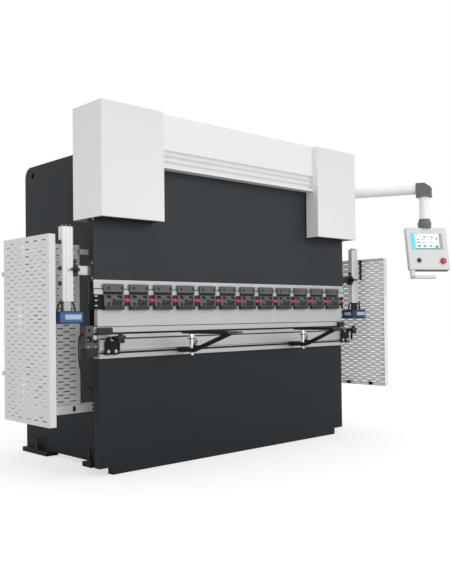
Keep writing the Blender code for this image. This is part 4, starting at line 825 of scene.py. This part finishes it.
def sensor(hand, side):
    """Sensor head under the column on four curved arms."""
    body = hand + "_column"
    inner, outer, front, back = 1.345, 1.523, -0.068, 0.066
    low, high = 0.970, 1.045
    cut = 0.010
    x0, x1 = sorted((side * inner, side * outer))
    case = Shape().prism([(x0 + cut, front + 0.0015), (x1 - cut, front + 0.0015), (x1, front + cut + 0.0015),
                          (x1, back - cut), (x1 - cut, back), (x0 + cut, back), (x0, back - cut),
                          (x0, front + cut + 0.0015)], "Z", low + 0.007, high - 0.005, 0.002)
    case.piece(hand + "_sensor_case", body, NAVY)
    face = Shape().block((x0 + cut + 0.002, front, low + 0.009), (x1 - 0.012, front + 0.004, high - 0.007),
                         0.0008)
    face.mirror(side, (outer - 0.0012, front + 0.022, low + 0.012), (outer, back - 0.022, high - 0.010),
                0.0003)
    face.piece(hand + "_sensor_face", body, BLUE if side < 0 else NAVY)
    label = Shape().block((x0 + 0.046, front - 0.0006, low + 0.026),
                          (x1 - 0.020, front + 0.002, high - 0.020), 0.0003)
    for far_x, sign in ((outer, 1), (inner, -1)):
        label.mirror(side, (far_x - sign * 0.0015, front + 0.030, low + 0.026),
                     (far_x + sign * 0.0003, back - 0.034, high - 0.022), 0.0003)
    label.piece(hand + "_sensor_label", body, LABEL)
    trims = Shape()
    trims.block((x0 + 0.002, front + 0.002, low), (x1 - 0.002, back - 0.002, low + 0.0075), 0.002)
    trims.block((x0 + 0.004, front + 0.004, high - 0.0052), (x1 - 0.004, back - 0.004, high), 0.002)
    centre = Vector((side * 1.434, -0.0055, 0))
    for i in (-1, 1):
        for j in (-1, 1):
            foot = centre + Vector((i * 0.048, j * 0.026, high - 0.002))
            knee = centre + Vector((i * 0.044, j * 0.024, high + 0.026))
            head = centre + Vector((i * 0.030, j * 0.014, 1.104))
            trims.bar([foot, knee, knee.lerp(head, 0.4) + Vector((i * 0.003, 0, 0.004)), head], 0.0058)
    trims.bar([centre + Vector((side * 0.034, -0.020, 1.050)), centre + Vector((side * 0.046, -0.024, 1.080)),
               centre + Vector((side * 0.050, -0.020, 1.118))], 0.0040)
    trims.piece(hand + "_sensor_trims", body, PLASTIC)
    block = Shape().block((centre.x - 0.025, -0.022, high + 0.001), (centre.x + 0.025, 0.011, 1.1045), 0.003)
    for k in range(3):
        block.block((centre.x - 0.018, -0.024, high + 0.012 + 0.014 * k),
                    (centre.x + 0.018, -0.020, high + 0.020 + 0.014 * k), 0.001)
    block.piece(hand + "_sensor_block", body, GROUND if side < 0 else PLASTIC, slot="grey_casting")


def column_bracket(hand, side):
    """Arm from the ram's end with the two knobs that hold the column."""
    near, z = 1.2503, 1.300
    plate = Shape().mirror(side, (near, -0.023, z - 0.065), (near + 0.012, 0.024, z + 0.070), 0.0012)
    plate.piece(hand + "_bracket_plate", "ram", ANTHRACITE, [hand + "_column_bracket"])
    arm = Shape().mirror(side, (1.2850, -0.016, z - 0.028), (1.3605, 0.016, z + 0.028), 0.002)
    arm.piece(hand + "_bracket_arm", "ram", GROUND if side < 0 else PLASTIC, slot="column_aluminium")
    root = Shape().mirror(side, (near + 0.0122, -0.0165, z - 0.0285), (1.2855, 0.0165, z + 0.0285), 0.002)
    root.piece(hand + "_bracket_root", "ram", CASTING if side < 0 else PLASTIC, slot="grey_casting")
    screws = Shape()
    for dz in (-0.046, 0.050):
        screws.lathe((side * (near + 0.006), -0.0228, z + dz), OUT,
                     [(0, 0.0034), (0.0016, 0.0034), (0.0024, 0.0022)], 14)
    screws.piece(hand + "_bracket_screws", "ram", ZINC)
    knob = Shape()
    x = side * 1.3745
    knob.mirror(side, (1.3600, -0.0300, z - 0.038), (1.3892, 0.0165, z + 0.035), 0.003)
    knob.mirror(side, (1.3640, -0.0360, z - 0.020), (1.3860, -0.0280, z + 0.022), 0.002)
    knob.lathe((x, -0.034, z + 0.002), OUT, [(0, 0.010), (0.006, 0.013), (0.018, 0.013), (0.022, 0.010)], 24)
    knob.bar([(x, -0.047, z + 0.002), (x + side * 0.014, -0.049, z + 0.003),
              (x + side * 0.048, -0.050, z + 0.004)], 0.0070)
    knob.rod((x, -0.010, z + 0.030), (x, -0.010, z + 0.050), 0.005, segments=16)
    knob.lathe((x, -0.010, z + 0.046), UP, [(0, 0.009), (0.004, 0.014), (0.016, 0.014), (0.022, 0.010)], 24)
    knob.piece(hand + "_bracket_knob", "ram", PLASTIC)


for hand, side in SIDES:
    column(hand, side)
    column_bracket(hand, side)


# ---- side guards

SLOT_LENGTH, SLOT_ROWS = 0.050, 0.044
DOOR_COLUMNS, FRAME_COLUMNS = 10, 9
DOOR_SLOT = {"left": 0.0062, "right": 0.0052}
FRAME_SLOT = {"left": 0.0074, "right": 0.0052}
BORDER = 0.032
RIM = 0.045                 # depth of the folded edges


def slotted(width, height, columns, slot):
    """Outlines of staggered slots inside the border."""
    pitch = (width - 2 * BORDER) / columns
    rows = int((height - 2 * BORDER) / SLOT_ROWS)
    radius = slot / 2
    reach = SLOT_LENGTH / 2 - radius
    rim = []
    for end, start in ((1, -90), (-1, 90)):
        for t in (math.radians(start + 60 * k) for k in range(4)):
            rim.append((end * reach + radius * math.cos(t), radius * math.sin(t)))
    holes = []
    for c in range(columns):
        for r in range(rows + 1 - c % 2):
            u = BORDER + pitch * (c + 0.5)
            v = (height - rows * SLOT_ROWS) / 2 + SLOT_ROWS * (r + 0.5 * (c % 2))
            holes.append([(u + du, v + dv) for du, dv in rim])
    return holes


GUARD_OUT, GUARD_LOW, GUARD_HIGH = 1.659, 0.374, 1.494
DOOR_FRONT, DOOR_BACK = -0.193, 0.3605
HINGE_X, HINGE_Y, HINGE_BASES = 1.668, 0.366, (0.624, 1.244)
HINGE_MEET = 0.040          # base of a hinge to the plane where its two knuckles meet
KNUCKLE = 0.014
KNUCKLE_PROFILE = [(0, 0.0032), (0.001, 0.0040), (KNUCKLE - 0.001, 0.0040), (KNUCKLE, 0.0032)]


def folded_edges(shape, side, near, far, axis):
    """Sheet along both ends of the axis, and along the bottom and the top."""
    for way in (axis, 2):
        for first in (True, False):
            low, high = list(near), list(far)
            if first:
                high[way] = near[way] + SHEET
            else:
                low[way] = far[way] - SHEET
            shape.mirror(side, low, high, 0.0014)


def guard_door(hand, side):
    """Perforated door with folded edges, its half of the hinges and its latches."""
    body = hand + "_door"
    width, height = DOOR_BACK - DOOR_FRONT, GUARD_HIGH - GUARD_LOW
    x = side * (GUARD_OUT - SHEET / 2)
    place = Matrix(((0, 0, 1, x), (1, 0, 0, DOOR_FRONT), (0, 1, 0, GUARD_LOW), (0, 0, 0, 1)))
    door = Shape().pierced(width, height, slotted(width, height, DOOR_COLUMNS, DOOR_SLOT[hand]), SHEET, place)
    folded_edges(door, side, (GUARD_OUT - RIM, DOOR_FRONT, GUARD_LOW), (GUARD_OUT, DOOR_BACK, GUARD_HIGH), 1)
    # The right door, seen from inside, takes the lighter painted-light copy of the guard grey.
    door.piece(hand + "_door_sheet", body, GUARD if side < 0 else GUARD_GREY_LIT, [hand + "_guard_door"])
    hinges = Shape()
    for base in HINGE_BASES:
        z = base + HINGE_MEET + 0.0003
        hinges.lathe((side * HINGE_X, HINGE_Y, z), UP, KNUCKLE_PROFILE, 20)
        hinges.mirror(side, (1.6570, 0.348, z), (1.6664, 0.3635, z + KNUCKLE), 0.001)
    hinges.piece(hand + "_door_hinges", body, GUARD)
    fittings = Shape()
    for y in (0.225, -0.020):
        fittings.mirror(side, (GUARD_OUT - 0.030, y - 0.014, GUARD_LOW + 0.003),
                        (GUARD_OUT - 0.004, y + 0.014, GUARD_LOW + 0.026), 0.002)
        fittings.mirror(side, (GUARD_OUT - 0.040, y - 0.004, GUARD_LOW + 0.006),
                        (GUARD_OUT - 0.030, y + 0.004, GUARD_LOW + 0.034), 0.001)
    fittings.mirror(side, (GUARD_OUT - 0.022, 0.074, 1.314), (GUARD_OUT - 0.0032, 0.088, 1.486), 0.002)
    fittings.piece(hand + "_door_fittings", body, PLASTIC)


def guard_frame(hand, side):
    """Perforated panel fixed to the side plate, with its half of the hinges."""
    inner, outer, front, back = 1.128, 1.612, 0.332, 0.359
    width, height = outer - inner, GUARD_HIGH - GUARD_LOW
    x = min(side * inner, side * outer)
    place = Matrix(((1, 0, 0, x), (0, 0, -1, front + SHEET / 2), (0, 1, 0, GUARD_LOW), (0, 0, 0, 1)))
    panel = Shape().pierced(width, height, slotted(width, height, FRAME_COLUMNS, FRAME_SLOT[hand]), SHEET,
                            place)
    folded_edges(panel, side, (inner, front, GUARD_LOW), (outer, back, GUARD_HIGH), 0)
    panel.mirror(side, (PLATE_OUT, front, 1.433), (inner + 0.010, back, 1.468), 0.0014)
    panel.mirror(side, (PLATE_OUT, 0.277, GUARD_LOW), (outer, front + 0.002, GUARD_LOW + 0.056), 0.002)
    # The fixed panels take the lighter painted-light copy of the guard grey.
    panel.piece(hand + "_frame_sheet", "frame", GUARD_GREY_LIT, [hand + "_guard_frame"])
    fittings = Shape()
    for z in (0.390, 0.415):
        fittings.lathe((side * 1.064, 0.2772, z), OUT, [(0, 0.0075), (0.003, 0.0075), (0.005, 0.0055)], 20)
    fittings.mirror(side, (1.203, 0.270, 0.388), (1.221, 0.2775, 0.420), 0.0015)
    hinges = Shape()
    for base in HINGE_BASES:
        meet = base + HINGE_MEET
        hinges.lathe((side * HINGE_X, HINGE_Y, meet - KNUCKLE), UP, KNUCKLE_PROFILE, 20)
        hinges.mirror(side, (1.572, 0.3612, meet - KNUCKLE), (1.666, 0.3650, meet), 0.001)
        hinges.mirror(side, (1.576, 0.3570, base + 0.004), (1.606, 0.3630, meet), 0.001)
    hinges.piece(hand + "_frame_hinges", "frame", GUARD)
    fittings.piece(hand + "_frame_fittings", "frame", PLASTIC)


for hand, side in SIDES:
    guard_door(hand, side)
    guard_frame(hand, side)


# ---- pendant

PIVOT = Vector((1.347, 0.022, 2.050))
SWING = math.radians(25.6)
ARM_LENGTH = 0.681
REACH = Vector((math.sin(SWING), -math.cos(SWING), 0))
ELBOW_AT = PIVOT + REACH * ARM_LENGTH
DROP_LENGTH = 0.255
COLLAR_HEIGHT = 0.078
BOX_AT = (Matrix.Translation(ELBOW_AT - Vector((0, 0, DROP_LENGTH + 0.0003 + COLLAR_HEIGHT)))
          @ Matrix.Rotation(math.radians(-30), 4, "Z") @ Matrix.Rotation(math.radians(-11), 4, "X"))
WIDE, DEEP, HIGH = 0.365, 0.046, 0.360  # of the control box
TUBE_RADIUS = 0.042


def pendant_arm():
    """White tubes with the cast elbow between them."""
    tube = Shape()
    tube.rod(PIVOT - Vector((0, 0, 0.050)), PIVOT + Vector((0, 0, 0.050)), 0.045, segments=48, edge=0.003)
    tube.rod(PIVOT + REACH * 0.030, ELBOW_AT, TUBE_RADIUS, segments=48, edge=0)
    tube.rod(ELBOW_AT, ELBOW_AT - Vector((0, 0, DROP_LENGTH)), TUBE_RADIUS, segments=48, edge=0.001)
    # The tubes are in the lighter painted-light copy of the white.
    tube.piece("pendant_tube", "arm", TUBE_WHITE_LIT, ["pendant_arm"])
    turn = Matrix.Translation(ELBOW_AT) @ Matrix.Rotation(SWING + math.pi, 4, "Z")
    elbow = Shape(turn)
    elbow.prism([(-0.0625, 0.047), (0.010, 0.047), (0.0615, 0.008), (0.0615, -0.070), (-0.046, -0.070),
                 (-0.0625, -0.058)], "X", -0.047, 0.047, 0.004)
    elbow.block((-0.0520, -0.0625, -0.070), (0.0520, -0.0440, 0.047), 0.003)
    elbow.block((-0.0520, -0.0480, -0.0702), (0.0520, 0.0620, -0.0540), 0.003)
    elbow.piece("pendant_elbow", "arm", CAST_GREY)


def pendant_box():
    """Control box under its collar, with its handle, display and controls."""
    case = Shape(BOX_AT)
    front = -DEEP / 2
    case.block((-WIDE / 2 + 0.0015, front + 0.010, -HIGH + 0.0015), (WIDE / 2 - 0.0015, DEEP / 2, -0.0015),
               0.005, 3)
    case.block((-WIDE / 2, front, -HIGH), (WIDE / 2, front + 0.014, 0), 0.004, 3)
    # The box is in the darker painted-shade copy of the white.
    case.piece("pendant_case", "box", PENDANT_WHITE_SHADED, ["pendant_box"])
    border = Shape(BOX_AT)
    inset = 0.018
    border.block((-WIDE / 2 + inset, front - 0.0010, -HIGH + inset),
                 (WIDE / 2 - inset, front + 0.002, -inset), 0.0008)
    border.piece("pendant_panel", "box", PENDANT_WHITE_SHADED)
    collar = Shape()
    low = Vector(BOX_AT.translation) + Vector((0, 0, 0.0042))
    collar.lathe(low, UP, [(0, 0.0520), (0.002, 0.0545), (0.018, 0.0545), (0.019, 0.0548), (0.022, 0.0548),
                           (0.023, 0.0565), (0.043, 0.0565), (0.047, 0.0545), (0.053, 0.0500),
                           (0.0535, 0.0478), (0.0705, 0.0478), (0.0735, 0.0455)], 56)
    collar.rod(low - Vector((0, 0, 0.012)), low + Vector((0, 0, 0.010)), 0.016, segments=32, edge=0)
    collar.piece("pendant_collar", "box", CAST_GREY)
    tray = Shape(BOX_AT).block((-WIDE / 2 + 0.045, front + 0.010, -HIGH - 0.008),
                               (WIDE / 2 - 0.012, DEEP / 2 - 0.004, -HIGH + 0.004), 0.002)
    tray.piece("pendant_gasket", "box", CAST_GREY)
    handle = Shape(BOX_AT)
    left, foot = -WIDE / 2 + 0.012, -HIGH - 0.072
    handle.block((left, -0.014, foot), (left + 0.038, 0.014, -HIGH + 0.008), 0.005, 3)
    handle.block((left, -0.014, foot), (left + 0.225, 0.014, foot + 0.028), 0.006, 3)
    handle.piece("pendant_handle", "box", PENDANT_WHITE_SHADED)
    screen(front)
    controls(front)


def screen(front):
    """Display with plain fields and unlettered symbols."""
    left, right_x = -0.143, 0.135
    low, high = -0.186, -0.051
    wide, tall = right_x - left, high - low

    def panel(name, material, areas, depth):
        shape = Shape(BOX_AT)
        for u0, v0, u1, v1 in areas:
            shape.block((left + wide * u0, front - 0.0008 - depth, low + tall * v0),
                        (left + wide * u1, front + 0.001, low + tall * v1), 0.0004, 1)
        shape.piece(name, "box", material)

    panel("screen_bezel", SCREEN_GREY, [(-0.012, -0.02, 1.012, 1.02)], 0.0008)
    panel("screen_side", SCREEN_CYAN, [(0.0, 0.0, 0.115, 1.0)], 0.0012)
    panel("screen_foot", SCREEN_TEAL, [(0.115, 0.0, 0.90, 0.075)], 0.0012)
    panel("screen_field", SCREEN_WHITE, [(0.115, 0.055, 0.90, 1.0)], 0.0012)
    panel("screen_edge", SCREEN_GREY, [(0.90, 0.0, 1.0, 0.96)], 0.0012)
    rows = [(0.15, 0.90, 0.22, 0.93), (0.40, 0.74, 0.45, 0.83), (0.53, 0.74, 0.545, 0.83),
            (0.64, 0.74, 0.70, 0.80), (0.18, 0.59, 0.24, 0.64), (0.32, 0.60, 0.44, 0.625),
            (0.60, 0.59, 0.66, 0.615), (0.80, 0.62, 0.84, 0.74), (0.18, 0.40, 0.27, 0.46),
            (0.32, 0.42, 0.46, 0.445), (0.56, 0.42, 0.68, 0.44), (0.79, 0.41, 0.85, 0.43),
            (0.18, 0.15, 0.28, 0.25), (0.37, 0.15, 0.46, 0.25), (0.57, 0.16, 0.66, 0.24)]
    panel("screen_symbols", SCREEN_INK, rows, 0.0015)
    panel("screen_light_symbols", SCREEN_WHITE, [(0.20, 0.17, 0.26, 0.19), (0.39, 0.20, 0.44, 0.22),
                                                 (0.59, 0.18, 0.64, 0.20)], 0.0018)
    panel("screen_go", SCREEN_GREEN, [(0.755, 0.08, 0.865, 0.24)], 0.0015)


def controls(front):
    """Emergency stop with its ring, and selector switch with its bezel."""
    stop = Shape(BOX_AT)
    at = Vector((WIDE * 0.333, front, -HIGH * 0.80))
    stop.lathe(at + Vector((0, 0.004, 0)), OUT, [(0, 0.010), (0.0118, 0.010), (0.012, 0.0225),
                                                 (0.015, 0.0258), (0.0205, 0.0252), (0.0250, 0.0205),
                                                 (0.0258, 0.012)], 40)
    stop.piece("stop_mushroom", "stop", RED, ["emergency_stop"])
    ring = Shape(BOX_AT)
    ring.lathe(at + Vector((0, 0.001, 0)), OUT, [(0, 0.0215), (0.0030, 0.0215), (0.0042, 0.0190)], 40)
    turn_at = Vector((-WIDE * 0.255, front, -HIGH * 0.785))
    # The ring takes the display's grey, whose faint glow is painted light: the ring is no lamp.
    ring.piece("stop_ring", "box", SCREEN_GREY, slot="grey_casting")
    bezel = Shape(BOX_AT)
    bezel.lathe(turn_at + Vector((0, 0.001, 0)), OUT, [(0, 0.0215), (0.0040, 0.0215), (0.0060, 0.0185),
                                                       (0.0062, 0.0124)], 40)
    bezel.piece("selector_bezel", "box", CAST_GREY)
    knob = Shape(BOX_AT)
    knob.lathe(turn_at + Vector((0, -0.0050, 0)), OUT, [(0, 0.0118), (0.0070, 0.0112), (0.0075, 0.0100)], 36)
    knob.block((turn_at.x - 0.0042, turn_at.y - 0.022, turn_at.z - 0.0105),
               (turn_at.x + 0.0042, turn_at.y - 0.008, turn_at.z + 0.0105), 0.0015)
    knob.piece("selector_knob", "selector", PLASTIC, ["selector_switch"])


pendant_arm()
pendant_box()


# ---- floor, backdrop and light

FLOOR_TONE = 0.54


def stage():
    """Pale floor that the camera sees as white, and that keeps the shadow."""
    shape = bpy.data.meshes.new("floor")
    size = 30.0
    shape.from_pydata([(-size, -size, 0), (size, -size, 0), (size, size, 0), (-size, size, 0)], [],
                      [(0, 1, 2, 3)])
    floor = new_object("floor", shape)
    floor.location.z = -0.0005
    material = bpy.data.materials.new("floor")
    material.use_nodes = True
    tree = material.node_tree
    tree.nodes.clear()
    diffuse = add(tree, "BsdfDiffuse", {"Color": (FLOOR_TONE, FLOOR_TONE, FLOOR_TONE, 1)}).outputs[0]
    seen = add(tree, "LightPath").outputs["Is Camera Ray"]
    strength = add(tree, "Math", {0: seen, 1: FLOOR_TONE}, operation="MULTIPLY").outputs[0]
    glow = add(tree, "Emission", {"Strength": strength}).outputs[0]
    both = add(tree, "AddShader", {0: diffuse, 1: glow}).outputs[0]
    add(tree, "OutputMaterial", {"Surface": both})
    shape.materials.append(material)


def world():
    """Soft even light, and a white background for the camera."""
    world = bpy.data.worlds.new("studio")
    bpy.context.scene.world = world
    world.use_nodes = True
    tree = world.node_tree
    path = add(tree, "LightPath").outputs
    seen = add(tree, "Math", {0: path["Is Camera Ray"], 1: path["Is Transmission Ray"]}, operation="MAXIMUM")
    strength = add(tree, "MapRange", {"To Min": 0.95, "To Max": 1.0, "Value": seen.outputs[0]})
    feed(tree, tree.nodes["Background"], {"Color": (1, 1, 1, 1), "Strength": strength.outputs["Result"]})


def lamp(name, at, target, size, power):
    """A round soft lamp that faces its target."""
    data = bpy.data.lights.new(name, "AREA")
    data.shape = "DISK"
    data.size = size
    data.energy = power
    obj = new_object(name, data)
    obj.location = at
    obj.rotation_mode = "QUATERNION"
    obj.rotation_quaternion = (Vector(target) - Vector(at)).to_track_quat("-Z", "Y")


stage()
world()
lamp("key", (2.5, -7.5, 4.2), (0, 0, 1.4), 5.0, 110)
lamp("front_left", (-4.5, -6.5, 1.8), (-0.4, 0, 1.1), 4.0, 54)

bpy.context.scene.view_settings.view_transform = "Standard"
